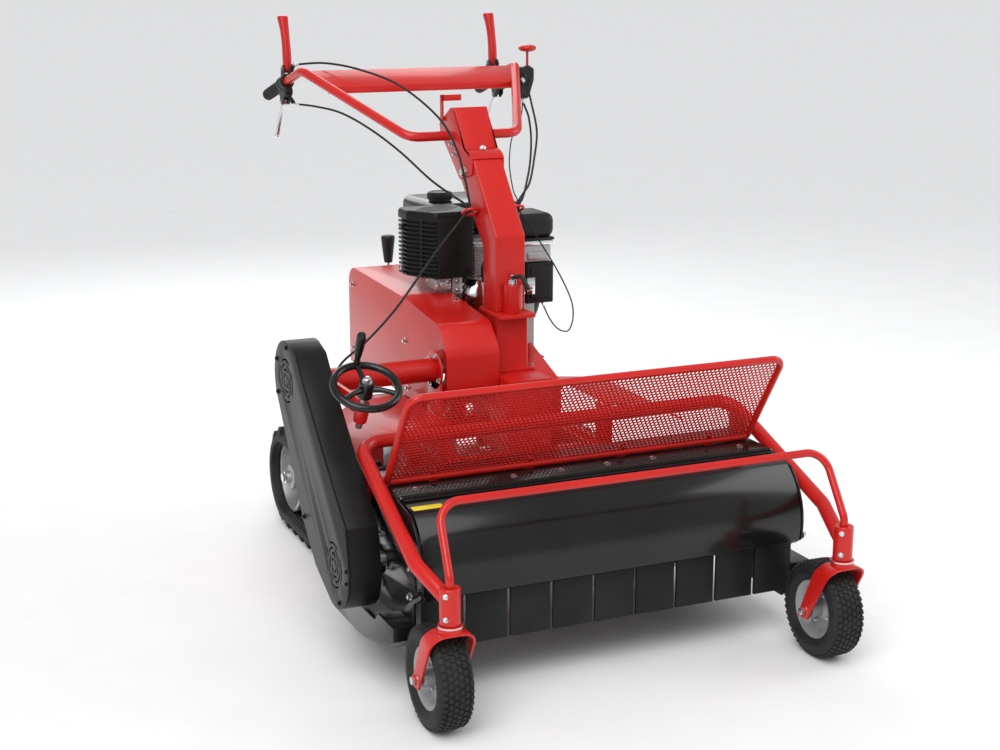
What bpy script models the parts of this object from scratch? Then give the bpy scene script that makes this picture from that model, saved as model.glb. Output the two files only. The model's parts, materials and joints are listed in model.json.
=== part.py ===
"""Walk-behind tracked flail mower.

The machine frame has X across (right positive), Y along (the front is at -Y) and Z up, with X = 0
on the centre plane and Z = 0 on the ground. Every body hangs on an empty at its joint, and all the
empties hang on one that sets the whole machine's bounding box over the world origin.
"""
import math

import bmesh
import bpy
from mathutils import Matrix, Vector

# --- Clearances -------------------------------------------------------------------------------
GAP = 0.0003            # between pieces that touch, and around a shaft in its hole
CLEAR = 0.004           # between pieces that swing past each other
EPS = 0.001             # how far welded shapes run into each other

# --- Whole machine ----------------------------------------------------------------------------
MACHINE_AT = Vector((0.0275, -0.8301, 0.0))
DECK_HALF = 0.4825      # outer face of the rotor housing's side plates
DECK_WALL = 0.005
DECK_TOP = 0.434
DECK_BACK = 0.595
SHEET = 0.004           # covers and brackets

# --- Rotor and hood ---------------------------------------------------------------------------
ROTOR_AT = (0.393, 0.262)           # (y, z) of the rotor axis
ROTOR_SWING = 0.150
DRUM_R = 0.058
SHAFT_R = 0.0175
BEARING_R = 0.034
HOOD_CENTRE = (0.300, 0.290)
HOOD_R = 0.160
HOOD_WALL = 0.003
HOOD_HALF = 0.4735
HOOD_PIN = (0.2835, 0.4345)
FLAP_ROD = (0.168, 0.252)
FLAP_ROD_R = 0.005
FLAP_COUNT = 9
FLAP_BOTTOM = 0.118
FLAP_THICK = 0.008
FLAP_SLOT = 0.007

# --- Casters and their frame ------------------------------------------------------------------
TYRE_R = 0.1145
TYRE_W = 0.080
CASTER_SIDES = 22
RIM_R = 0.064
AXLE_R = 0.008
CASTER_X = 0.482
STEM_Y = -0.018
TRAIL = 0.064
FORK_WALL = 0.005
FORK_GAP = 0.007        # tyre to fork, at the sides and over the top
STEM_R = 0.010
SOCKET_R = 0.0225
SOCKET_LOW = 0.2555
SOCKET_TOP = 0.335
ARM_R = 0.0168
HOOP_R = 0.009
PIVOT_AT = (0.468, 0.388)           # (y, z) of the caster frame's pivot
PIVOT_R = 0.008
LUG_X = 0.493
CORNER = Vector((0.494, 0.508, 0.504))
KINK = Vector((0.509, 0.105, 0.346))

# --- Belt case, layshaft and belt cover -------------------------------------------------------
CASE_IN = 0.518
CASE_OUT = 0.595
CASE_WALL = 0.003
CASE_LID = 0.0045
LAY_AT = (0.735, 0.600)
LAY_TUBE_R = 0.029
LAY_SHAFT_R = 0.0125
CASE_PULLEY_X = (0.535, 0.575)
CASE_BELT_T = 0.010
LAY_PULLEY_R = 0.055
ROTOR_PULLEY_R = 0.070
COVER_LEFT = 0.200
COVER_RIGHT = 0.060
DRIVE_PULLEY_R = 0.028
ENGINE_PULLEY_R = 0.045
CRANK_AT = (1.200, 0.665)
COVER_PULLEY_X = (0.115, 0.165)

# --- Tracks -----------------------------------------------------------------------------------
TRACK_IN = 0.247
TRACK_OUT = 0.407
BELT_R = 0.123
BELT_T = 0.020
LUG_H = 0.022
LUG_COUNT = 34
SPROCKET_Y = 1.440
IDLER_Y = 0.765
WHEEL_HALF = 0.055
TRACK_AXLE_R = 0.0175

# --- Chassis, engine and transaxle ------------------------------------------------------------
RAIL_X = (0.170, 0.220)
RAIL_Z = (0.340, 0.390)
PLATE_Z = 0.535
ENGINE_X = (-0.030, 0.200)
TANK_TOP = 0.947
CAP_AT = (-0.010, 1.200)
CAP_R = 0.034

# --- Column and handlebar ---------------------------------------------------------------------
SWIVEL_Y = 0.795
PEDESTAL_TOP = 0.7247
PEDESTAL_LOW = 0.575
COLUMN_HALF = 0.040
COLUMN_LOW = PEDESTAL_TOP + GAP
HEAD_WALL = 0.005
TILT_AT = (0.938, 1.056)
BAR_R = 0.0125
BAR_LOW = Vector((0.153, 1.052, 1.137))
BAR_HIGH = Vector((0.316, 1.430, 1.288))
BAR_END = Vector((0.329, 1.720, 1.204))
GRIP_R = 0.017
GRIP_LENGTH = 0.115
LOCK_PIN_R = 0.007
LOCK_Y = 0.741
LOCK_TOP = 0.796        # top of the lock boss
RING_AT = Vector((0.062, 0.862, 0.965))
RING_R = 0.020
RING_WIRE = 0.004
CABLE_R = 0.003
THIN_CABLE_R = 0.002

# --- Handwheel --------------------------------------------------------------------------------
WHEEL_HUB = Vector((-0.500, 0.425, 0.657))
SPINDLE_DIR = Vector((0.0, -0.4714, 0.8819))
WHEEL_RIM_R = 0.0735
WHEEL_WIRE_R = 0.009
SPINDLE_R = 0.008
CRANK_LENGTH = 0.085

COLOURS = {
    "red_paint": ((0.55, 0.018, 0.012), 0.30, 0.0),
    "black_paint": ((0.012, 0.012, 0.013), 0.25, 0.0),
    "black_plastic": ((0.02, 0.02, 0.02), 0.5, 0.0),
    "rubber": ((0.015, 0.015, 0.015), 0.8, 0.0),
    "steel": ((0.55, 0.55, 0.56), 0.35, 1.0),
    "chrome": ((0.8, 0.8, 0.8), 0.12, 1.0),
    "grey_paint": ((0.35, 0.35, 0.36), 0.4, 0.3),
    "cast_alloy": ((0.5, 0.5, 0.5), 0.45, 0.8),
}

# Body name to the point on its joint, in the machine frame.
BODIES = {
    "root": Vector((0.0, 0.0, 0.0)),
    "rotor": Vector((0.0, *ROTOR_AT)),
    "layshaft": Vector((0.0, *LAY_AT)),
    "engine_crank": Vector((0.0, *CRANK_AT)),
    "hood": Vector((0.0, *HOOD_PIN)),
    "flaps": Vector((0.0, *FLAP_ROD)),
    "caster_frame": Vector((0.0, *PIVOT_AT)),
    "column": Vector((0.0, SWIVEL_Y, PEDESTAL_TOP)),
    "lock_pin": Vector((0.0, LOCK_Y, 0.745)),
    "handlebar": Vector((0.0, *TILT_AT)),
    "tilt_lever": Vector((-0.048, 1.086, 1.185)),
    "stop_knob": Vector((0.364, 1.450, 1.284)),
    "handwheel": WHEEL_HUB,
    "crank_handle": WHEEL_HUB + WHEEL_RIM_R * Vector((0.0, 0.8819, 0.4714)),
    "gear_lever": Vector((-0.046, 1.515, 0.430)),
    "fuel_cap": Vector((CAP_AT[0], CAP_AT[1], TANK_TOP)),
}
for side, sign in (("left", -1), ("right", 1)):
    BODIES["caster_" + side] = Vector((sign * CASTER_X, STEM_Y, SOCKET_LOW))
    BODIES["caster_wheel_" + side] = Vector((sign * CASTER_X, STEM_Y + TRAIL, TYRE_R))
    BODIES["sprocket_" + side] = Vector((0.0, SPROCKET_Y, BELT_R + LUG_H))
    BODIES["idler_" + side] = Vector((0.0, IDLER_Y, BELT_R + LUG_H))
    BODIES["presence_lever_" + side] = Vector((sign * 0.312, 1.580, 1.287))
    BODIES["brake_lever_" + side] = Vector((sign * 0.323, 1.574, 1.198))


# --- Scene and materials ----------------------------------------------------------------------
def clear_scene():
    for old in list(bpy.data.objects):
        bpy.data.objects.remove(old, do_unlink=True)


def make_materials():
    made = {}
    for name, (rgb, roughness, metallic) in COLOURS.items():
        mat = bpy.data.materials.new(name)
        mat.use_nodes = True
        shader = mat.node_tree.nodes["Principled BSDF"]
        shader.inputs["Base Color"].default_value = (*rgb, 1.0)
        shader.inputs["Roughness"].default_value = roughness
        shader.inputs["Metallic"].default_value = metallic
        made[name] = mat
    return made


def make_bodies():
    machine = bpy.data.objects.new("machine", None)
    machine.location = MACHINE_AT
    bpy.context.collection.objects.link(machine)
    made = {}
    for name, point in BODIES.items():
        empty = bpy.data.objects.new("at_" + name, None)
        empty.location = point
        empty.parent = machine
        bpy.context.collection.objects.link(empty)
        made[name] = empty
    return made


# --- Shapes: each returns a mesh in the machine frame ------------------------------------------
def to_mesh(bm):
    bmesh.ops.recalc_face_normals(bm, faces=bm.faces)
    mesh = bpy.data.meshes.new("shape")
    bm.to_mesh(mesh)
    bm.free()
    return mesh


def prism(outline, axis, low, high):
    """An outline extruded along axis; its points are (y, z), (x, z) or (x, y)."""
    place = {
        "X": lambda p, t: (t, p[0], p[1]),
        "Y": lambda p, t: (p[0], t, p[1]),
        "Z": lambda p, t: (p[0], p[1], t),
    }[axis]
    bm = bmesh.new()
    near = [bm.verts.new(place(p, low)) for p in outline]
    far = [bm.verts.new(place(p, high)) for p in outline]
    bm.faces.new(near)
    bm.faces.new(list(reversed(far)))
    for i in range(len(outline)):
        j = (i + 1) % len(outline)
        bm.faces.new((near[i], far[i], far[j], near[j]))
    return to_mesh(bm)


def box(x, y, z, bevel=0.0):
    bm = bmesh.new()
    bmesh.ops.create_cube(bm, size=1.0)
    size = Vector((x[1] - x[0], y[1] - y[0], z[1] - z[0]))
    centre = Vector(((x[0] + x[1]) / 2, (y[0] + y[1]) / 2, (z[0] + z[1]) / 2))
    bmesh.ops.transform(bm, matrix=Matrix.Diagonal((*size, 1.0)), verts=bm.verts)
    bmesh.ops.translate(bm, vec=centre, verts=bm.verts)
    if bevel:
        bmesh.ops.bevel(bm, geom=bm.edges[:], offset=bevel, segments=1, affect="EDGES")
    return to_mesh(bm)


def turned(profile, base, direction, sides=16, solid=True):
    """A profile of (radius, height) turned about direction through base.

    A solid one is closed by a flat face at each end; the other kind is a closed ring.
    """
    turn = Vector((0, 0, 1)).rotation_difference(Vector(direction).normalized()).to_matrix()
    bm = bmesh.new()
    rings = []
    for radius, height in profile:
        ring = []
        for i in range(sides):
            a = 2 * math.pi * (i + 0.5) / sides
            local = Vector((radius * math.cos(a), radius * math.sin(a), height))
            ring.append(bm.verts.new(Vector(base) + turn @ local))
        rings.append(ring)
    pairs = list(zip(rings, rings[1:]))
    if solid:
        bm.faces.new(rings[0])
        bm.faces.new(rings[-1])
    else:
        pairs.append((rings[-1], rings[0]))
    for low, high in pairs:
        for i in range(sides):
            j = (i + 1) % sides
            bm.faces.new((low[i], low[j], high[j], high[i]))
    return to_mesh(bm)


def rod(start, end, radius, sides=12):
    start, end = Vector(start), Vector(end)
    return turned([(radius, 0), (radius, (end - start).length)], start, end - start, sides)


def flats(radius, sides):
    """The corner radius of a faceted hole whose flats lie at radius."""
    return radius / math.cos(math.pi / sides)


def bore(start, end, radius, sides=16):
    return rod(start, end, flats(radius, sides), sides)


def sleeve(start, end, outer, inner, sides=16):
    start, end = Vector(start), Vector(end)
    length = (end - start).length
    hole = flats(inner, sides)
    profile = [(hole, 0), (outer, 0), (outer, length), (hole, length)]
    return turned(profile, start, end - start, sides, solid=False)


def arc(centre, radius, start_deg, end_deg, steps):
    points = []
    for i in range(steps + 1):
        a = math.radians(start_deg + (end_deg - start_deg) * i / steps)
        points.append((centre[0] + radius * math.cos(a), centre[1] + radius * math.sin(a)))
    return points


def fillet(points, radii, steps=4, closed=False):
    """The path through points with each inner corner rounded to its radius."""
    points = [Vector(p) for p in points]
    count = len(points)
    path = []
    for i, here in enumerate(points):
        if not closed and i in (0, count - 1):
            path.append(here)
            continue
        before = (points[i - 1] - here).normalized()
        after = (points[(i + 1) % count] - here).normalized()
        radius = radii[i] if isinstance(radii, (list, tuple)) else radii
        half = before.angle(after) / 2
        reach = radius / math.tan(half)
        middle = here + (before + after).normalized() * (radius / math.sin(half))
        start = here + before * reach - middle
        end = here + after * reach - middle
        for k in range(steps + 1):
            t = k / steps
            direction = start.lerp(end, t).normalized()
            path.append(middle + direction * radius)
    return path


def tube(path, radius, sides=10, closed=False):
    """A bevelled curve with filled caps along path."""
    data = bpy.data.curves.new("path", "CURVE")
    data.dimensions = "3D"
    data.bevel_depth = radius
    data.bevel_resolution = (sides - 4) // 2
    data.use_fill_caps = True
    spline = data.splines.new("POLY")
    spline.points.add(len(path) - 1)
    for point, place in zip(spline.points, path):
        point.co = (*place, 1.0)
    spline.use_cyclic_u = closed
    holder = bpy.data.objects.new("path", data)
    bpy.context.collection.objects.link(holder)
    bpy.context.view_layer.update()
    mesh = bpy.data.meshes.new_from_object(holder.evaluated_get(bpy.context.evaluated_depsgraph_get()))
    bpy.data.objects.remove(holder)
    bm = bmesh.new()
    bm.from_mesh(mesh)
    bmesh.ops.remove_doubles(bm, verts=bm.verts, dist=1e-6)
    return to_mesh(bm)


def smooth_route(points, spacing):
    """Points at even spacing on a smooth curve through the route's points."""
    points = [Vector(p) for p in points]
    ends = [2 * points[0] - points[1], *points, 2 * points[-1] - points[-2]]
    dense = []
    for a, b, c, d in zip(ends, ends[1:], ends[2:], ends[3:]):
        for k in range(24):
            t = k / 24
            dense.append(0.5 * (2 * b + (c - a) * t + (2 * a - 5 * b + 4 * c - d) * t * t
                                + (3 * b - a - 3 * c + d) * t ** 3))
    dense.append(points[-1])
    length = sum((q - p).length for p, q in zip(dense, dense[1:]))
    count = max(2, round(length / spacing))
    path, run, want = [dense[0]], 0.0, length / count
    for p, q in zip(dense, dense[1:]):
        step = (q - p).length
        while run + step >= want * len(path) and len(path) < count:
            path.append(p.lerp(q, (want * len(path) - run) / step))
        run += step
    path.append(dense[-1])
    return path


def mirrored(mesh):
    """A copy of a mesh on the other side of the machine."""
    bm = bmesh.new()
    bm.from_mesh(mesh)
    bmesh.ops.scale(bm, vec=(-1, 1, 1), verts=bm.verts)
    bmesh.ops.reverse_faces(bm, faces=bm.faces)
    return to_mesh(bm)


def both_sides(meshes):
    return list(meshes) + [mirrored(mesh) for mesh in meshes]


def boolean(base, others, operation):
    """base joined with, or cut by, the other meshes."""
    holder = bpy.data.objects.new("base", base)
    bpy.context.collection.objects.link(holder)
    helpers = []
    for other in others:
        helper = bpy.data.objects.new("helper", other)
        bpy.context.collection.objects.link(helper)
        helpers.append(helper)
        step = holder.modifiers.new("step", "BOOLEAN")
        step.operation = operation
        step.solver = "EXACT"
        step.object = helper
    bpy.context.view_layer.update()
    result = bpy.data.meshes.new_from_object(holder.evaluated_get(bpy.context.evaluated_depsgraph_get()))
    for used in [holder, *helpers]:
        bpy.data.objects.remove(used)
    return result


def weld(*meshes):
    return boolean(meshes[0], meshes[1:], "UNION")


def cut(mesh, *tools):
    return boolean(mesh, tools, "DIFFERENCE")


def inset(outline, distance):
    """A closed outline moved inwards by distance."""
    area = sum(a[0] * b[1] - b[0] * a[1] for a, b in zip(outline, outline[1:] + outline[:1]))
    turn = 1 if area > 0 else -1
    moved = []
    for before, here, after in zip(outline[-1:] + outline[:-1], outline, outline[1:] + outline[:1]):
        d0 = (Vector(here) - Vector(before)).normalized()
        d1 = (Vector(after) - Vector(here)).normalized()
        n0, n1 = Vector((-d0.y, d0.x)) * turn, Vector((-d1.y, d1.x)) * turn
        middle = (n0 + n1).normalized()
        moved.append(tuple(Vector(here) + middle * (distance / max(0.3, middle.dot(n0)))))
    return moved


def tray(outline, wall, floor_at, floor_inner, mouth):
    """A tray open towards mouth, its outline in (y, z) and its depth along X."""
    inner = inset(outline, wall)
    bm = bmesh.new()
    rings = []
    for points, x in ((outline, floor_at), (outline, mouth), (inner, mouth), (inner, floor_inner)):
        rings.append([bm.verts.new((x, p[0], p[1])) for p in points])
    bm.faces.new(rings[0])
    bm.faces.new(rings[-1])
    for low, high in zip(rings, rings[1:]):
        for i in range(len(outline)):
            j = (i + 1) % len(outline)
            bm.faces.new((low[i], low[j], high[j], high[i]))
    return to_mesh(bm)


def loop_outline(first, first_r, second, second_r, steps=8, hollow=False):
    """The outline of a belt round two circles in the (y, z) plane; a hollow one clears them."""
    if hollow:
        first_r, second_r = flats(first_r, 2 * steps), flats(second_r, 2 * steps)
    a, b = Vector(first), Vector(second)
    along = b - a
    heading = math.atan2(along.y, along.x)
    lean = math.acos((first_r - second_r) / along.length)
    points = []
    for centre, radius, start, end in (
        (a, first_r, heading + lean, heading + 2 * math.pi - lean),
        (b, second_r, heading - lean, heading + lean),
    ):
        points += arc(centre, radius, math.degrees(start), math.degrees(end), steps)
    return points


class Builder:
    """Puts finished meshes on their bodies."""

    def __init__(self):
        self.materials = make_materials()
        self.bodies = make_bodies()

    def add(self, name, mesh, material, body="root", smooth_deg=35):
        mesh = mesh.copy()
        mesh.name = name
        mesh.transform(Matrix.Translation(-BODIES[body]))
        mesh.materials.clear()
        mesh.materials.append(self.materials[material])
        mesh.shade_smooth()
        mesh.set_sharp_from_angle(angle=math.radians(smooth_deg))
        node = bpy.data.objects.new(name, mesh)
        node.parent = self.bodies[body]
        bpy.context.collection.objects.link(node)
        return node


# --- Rotor housing ----------------------------------------------------------------------------
def side_plate_outline():
    front = arc(HOOD_CENTRE, HOOD_R - 0.001, 128, 195, 8)
    return [(HOOD_PIN[0] + 0.012, DECK_TOP - EPS), (0.240, 0.424), *front, (0.190, 0.224),
            (0.190, 0.105), (0.215, 0.085), (0.560, 0.085), (DECK_BACK, 0.120),
            (DECK_BACK, 0.325), (0.500, DECK_TOP)]


def deck_shell():
    top = [(HOOD_PIN[0] + 0.012, DECK_TOP), (0.498, DECK_TOP), (DECK_BACK, 0.325), (DECK_BACK, 0.140)]
    low = [(DECK_BACK - DECK_WALL, 0.140), (DECK_BACK - DECK_WALL, 0.323),
           (0.496, DECK_TOP - DECK_WALL), (HOOD_PIN[0] + 0.012, DECK_TOP - DECK_WALL)]
    sheet = prism(top + low, "X", -(DECK_HALF - EPS), DECK_HALF - EPS)
    rod_x = DECK_HALF + 0.016
    flap_rod = rod((-rod_x, *FLAP_ROD), (rod_x, *FLAP_ROD), FLAP_ROD_R, 10)
    plate = cut(prism(side_plate_outline(), "X", DECK_HALF - DECK_WALL, DECK_HALF),
                bore((0.4, *ROTOR_AT), (0.6, *ROTOR_AT), BEARING_R))
    skid = prism([(0.180, 0.178), (0.180, 0.146), (0.234, 0.112), (0.400, 0.084), (0.590, 0.084),
                  (0.590, 0.130), (0.540, 0.152), (0.300, 0.156), (0.275, 0.178)],
                 "X", DECK_HALF - EPS, DECK_HALF + 0.052)
    pin = rod((DECK_HALF - 2 * EPS, *PIVOT_AT), (LUG_X + 0.012, *PIVOT_AT), PIVOT_R)
    head = rod((LUG_X + 0.0075, *PIVOT_AT), (LUG_X + 0.0145, *PIVOT_AT), 0.013, 6)
    return weld(sheet, *both_sides([plate, skid, pin, head]), flap_rod)


def rotor():
    reach = DECK_HALF - DECK_WALL - 0.020
    drum = rod((-reach, *ROTOR_AT), (reach, *ROTOR_AT), DRUM_R, 16)
    shaft = rod((-CASE_PULLEY_X[0] + GAP, *ROTOR_AT), (DECK_HALF + 0.02, *ROTOR_AT), SHAFT_R)
    flails = []
    count = 12
    for i in range(count):
        x = -reach + (i + 0.5) * 2 * reach / count
        blade = box((x - 0.022, x + 0.022), (-0.006, 0.006), (DRUM_R - 0.006, ROTOR_SWING))
        turn = Matrix.Rotation(2 * math.pi * (i * 5 % count) / count, 4, "X")
        blade.transform(Matrix.Translation((0, *ROTOR_AT)) @ turn)
        flails.append(blade)
    return weld(drum, shaft, *flails)


def hood():
    """A curved sheet from its hinge forward and down, with its lower lip folded under."""
    outer = [(HOOD_PIN[0] - 0.001, 0.4315), (0.242, 0.4245), *arc(HOOD_CENTRE, HOOD_R, 126, 196, 9),
             (0.158, 0.2385)]
    inner_arc = arc(HOOD_CENTRE, HOOD_R - HOOD_WALL, 196, 126, 9)
    inner = [(0.159, 0.2415), *inner_arc, (0.243, 0.4212), (HOOD_PIN[0] - 0.001, 0.4282)]
    sheet = prism(outer + inner, "X", -HOOD_HALF, HOOD_HALF)
    knuckle = rod((-HOOD_HALF, *HOOD_PIN), (HOOD_HALF, *HOOD_PIN), 0.005, 8)
    return weld(sheet, knuckle)


def flap_curtain():
    """Nine flaps on one sleeve round the flap rod."""
    half = HOOD_HALF - 0.006
    sleeve_r = FLAP_ROD_R + 0.004
    ring = sleeve((-half, *FLAP_ROD), (half, *FLAP_ROD), sleeve_r, FLAP_ROD_R + GAP, 10)
    pitch = (2 * half + FLAP_SLOT) / FLAP_COUNT
    y = FLAP_ROD[0] + FLAP_ROD_R + 0.0005
    flaps = []
    for i in range(FLAP_COUNT):
        x = -half + i * pitch
        flaps.append(box((x, x + pitch - FLAP_SLOT), (y, y + FLAP_THICK), (FLAP_BOTTOM, FLAP_ROD[1])))
    return weld(ring, *flaps)


# --- Casters ----------------------------------------------------------------------------------
def caster_fork():
    half = TYRE_W / 2 + FORK_GAP
    axle = Vector((CASTER_X, STEM_Y + TRAIL, TYRE_R))
    arch_z = 2 * TYRE_R + FORK_GAP
    bend = 0.028
    inside = [(-half, axle.z - 0.020), *arc((-half + bend, arch_z - bend), bend, 180, 90, 4),
              *arc((half - bend, arch_z - bend), bend, 90, 0, 4), (half, axle.z - 0.020)]
    outside = []
    for point, toward in zip(inside, inset(inside, -FORK_WALL)):
        outside.append(toward if point[1] > axle.z else (toward[0], point[1]))
    bm = bmesh.new()
    rings = []
    for edge in (-1, 1):
        for line in (inside, outside):
            ring = []
            for x, z in line:
                drop = (arch_z - z) / (arch_z - axle.z)
                width = 0.027 - 0.008 * max(0.0, min(1.0, drop))
                y = STEM_Y + TRAIL * max(0.0, min(1.15, drop)) + edge * width
                ring.append(bm.verts.new((CASTER_X + x, y, z)))
            rings.append(ring)
    a, b, c, d = rings
    for first, second in ((a, b), (b, d), (d, c), (c, a)):
        for i in range(len(inside) - 1):
            bm.faces.new((first[i], first[i + 1], second[i + 1], second[i]))
    bm.faces.new((a[0], b[0], d[0], c[0]))
    bm.faces.new((a[-1], b[-1], d[-1], c[-1]))
    arch = to_mesh(bm)
    collar = rod((CASTER_X, STEM_Y, arch_z + EPS), (CASTER_X, STEM_Y, SOCKET_LOW - GAP), 0.026, 16)
    stem = rod((CASTER_X, STEM_Y, arch_z + EPS), (CASTER_X, STEM_Y, SOCKET_LOW + 0.040), STEM_R)
    reach = half + FORK_WALL + 0.006
    bolt = rod(axle - Vector((reach, 0, 0)), axle + Vector((reach, 0, 0)), AXLE_R)
    heads = [rod(axle + Vector((s * (half + FORK_WALL - EPS), 0, 0)), axle + Vector((s * reach, 0, 0)), 0.012, 6)
             for s in (-1, 1)]
    return weld(arch, collar, stem, bolt, *heads)


def caster_rim():
    axle = Vector((CASTER_X, STEM_Y + TRAIL, TYRE_R))
    width = TYRE_W / 2
    hole, hub, barrel, web = flats(AXLE_R + GAP, CASTER_SIDES), 0.018, RIM_R - 0.007, 0.005
    profile = [(hole, -width), (hub, -width), (hub, -web), (barrel, -web), (barrel, -0.026), (RIM_R, -0.026),
               (RIM_R, 0.026), (barrel, 0.026), (barrel, web), (hub, web), (hub, width), (hole, width)]
    return turned(profile, axle, (1, 0, 0), CASTER_SIDES, solid=False)


def caster_tyre():
    axle = Vector((CASTER_X, STEM_Y + TRAIL, TYRE_R))
    inner, wall, half = RIM_R + GAP, TYRE_R - RIM_R, TYRE_W / 2
    profile = []
    for radial, across in ((0.0, 0.62), (0.35, 0.92), (0.62, 1.0), (0.86, 0.86), (1.0, 0.45)):
        profile.append((inner + radial * (wall - GAP), half * across))
    profile = [(r, -x) for r, x in profile] + [(r, x) for r, x in reversed(profile)]
    return turned(profile, axle, (1, 0, 0), CASTER_SIDES, solid=False)


def caster_frame():
    foot = STEM_Y + (SOCKET_R + STEM_R) / 2
    path = fillet([(-CASTER_X, foot, 0.304), (-KINK.x, KINK.y, KINK.z), (-CORNER.x, CORNER.y, CORNER.z),
                   CORNER, KINK, (CASTER_X, foot, 0.304)], [0, 0.07, 0.055, 0.055, 0.07, 0], 4)
    arm = tube(path, ARM_R, 10)
    socket = rod((CASTER_X, STEM_Y, SOCKET_LOW), (CASTER_X, STEM_Y, SOCKET_TOP), SOCKET_R, 16)
    y, z = PIVOT_AT
    lug = prism([*arc(PIVOT_AT, 0.024, 200, 360, 6), (y + 0.030, z + 0.100), (y - 0.050, z + 0.072)],
                "X", LUG_X - 0.006, LUG_X + 0.006)
    stem_bore = bore((CASTER_X, STEM_Y, SOCKET_LOW - 0.01), (CASTER_X, STEM_Y, SOCKET_LOW + 0.0425), STEM_R + GAP)
    hoop_bore = bore((CASTER_X, STEM_Y, SOCKET_TOP - 0.027), (CASTER_X, STEM_Y, SOCKET_TOP + 0.01), HOOP_R + GAP)
    eye = bore((LUG_X - 0.01, *PIVOT_AT), (LUG_X + 0.01, *PIVOT_AT), PIVOT_R + GAP)
    return cut(weld(arm, *both_sides([socket, lug])), *both_sides([stem_bore, hoop_bore, eye]))


def front_hoop():
    x, y, foot = CASTER_X, STEM_Y, SOCKET_TOP - 0.026
    path = fillet([(-x, y, foot), (-x, y, 0.352), (-0.475, 0.064, 0.490), (0.475, 0.064, 0.490),
                   (x, y, 0.352), (x, y, foot)], [0, 0.035, 0.050, 0.050, 0.035, 0], 4)
    return tube(path, HOOP_R, 10)


# --- Guard ------------------------------------------------------------------------------------
def guard():
    """A tube frame with a sheet inside it, leaning forward over the hood's hinge."""
    low, high = Vector((0.470, 0.383, 0.4435)), Vector((0.470, 0.235, 0.671))
    corners = [(-low.x, low.y, low.z), low, high, (-high.x, high.y, high.z)]
    frame = tube(fillet(corners, [0.010, 0.010, 0.032, 0.032], 4, closed=True), 0.0085, 8, closed=True)
    edge = 0.004
    lean = (high - low).normalized()
    across = Vector((0, lean.z, -lean.y)) * 0.001
    corners = [Vector((-low.x + edge, low.y, low.z)) + lean * edge, Vector((low.x - edge, low.y, low.z)) + lean * edge,
               Vector((high.x - edge, high.y, high.z)) - lean * edge, Vector((-high.x + edge, high.y, high.z)) - lean * edge]
    path = fillet(corners, [0.010, 0.010, 0.030, 0.030], 3, closed=True)
    bm = bmesh.new()
    front = [bm.verts.new(p - across) for p in path]
    back = [bm.verts.new(p + across) for p in path]
    bm.faces.new(front)
    bm.faces.new(list(reversed(back)))
    for i in range(len(path)):
        j = (i + 1) % len(path)
        bm.faces.new((front[i], back[i], back[j], front[j]))
    return weld(frame, to_mesh(bm))


# --- Rotor drive ------------------------------------------------------------------------------
def case_outline():
    upper = arc((0.725, 0.612), 0.096, 110, -38, 8)
    lower = arc(ROTOR_AT, 0.100, -72, -188, 7)
    return [*upper, (0.712, 0.430), (0.622, 0.300), (0.530, 0.215), *lower, (0.310, 0.371),
            (0.392, 0.439), (0.592, 0.624), (0.650, 0.690)]


def belt_case_tray():
    case = tray(case_outline(), CASE_WALL, -CASE_IN, -CASE_IN - CASE_WALL, -CASE_OUT + CASE_LID + GAP)
    shaft_hole = bore((-0.50, *ROTOR_AT), (-0.53, *ROTOR_AT), BEARING_R)
    lay_hole = bore((-0.50, *LAY_AT), (-0.53, *LAY_AT), LAY_TUBE_R - 0.006)
    return cut(case, shaft_hole, lay_hole)


def belt_case_lid():
    return prism(case_outline(), "X", -CASE_OUT, -CASE_OUT + CASE_LID)


def pulley(at, radius, near, far, bore, sides=20):
    """A belt pulley with a flange at each side of its flat, centred on (y, z)."""
    flange, lip = radius + 0.006, 0.004
    profile = [(bore, 0), (flange, 0), (flange, lip), (radius, lip), (radius, far - near - lip),
               (flange, far - near - lip), (flange, far - near), (bore, far - near)]
    return turned(profile, (near, *at), (1, 0, 0), sides, solid=False)


def rotor_pulley():
    near, far = -CASE_PULLEY_X[1], -CASE_PULLEY_X[0]
    return pulley(ROTOR_AT, ROTOR_PULLEY_R, near, far, SHAFT_R - 0.006)


def layshaft():
    shaft = rod((-CASE_PULLEY_X[1] - 0.006, *LAY_AT), (-COVER_PULLEY_X[0] + 0.01, *LAY_AT), LAY_SHAFT_R)
    case_end = pulley(LAY_AT, LAY_PULLEY_R, -CASE_PULLEY_X[1], -CASE_PULLEY_X[0], LAY_SHAFT_R - EPS)
    cover_end = pulley(LAY_AT, DRIVE_PULLEY_R, -COVER_PULLEY_X[1], -COVER_PULLEY_X[0], LAY_SHAFT_R - EPS)
    return weld(shaft, case_end, cover_end)


def belt(first, first_r, second, second_r, low, high, thick):
    outer = prism(loop_outline(first, first_r + thick, second, second_r + thick), "X", low, high)
    inside = loop_outline(first, first_r + 2 * GAP, second, second_r + 2 * GAP, hollow=True)
    return cut(outer, prism(inside, "X", low - 0.01, high + 0.01))


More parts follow.
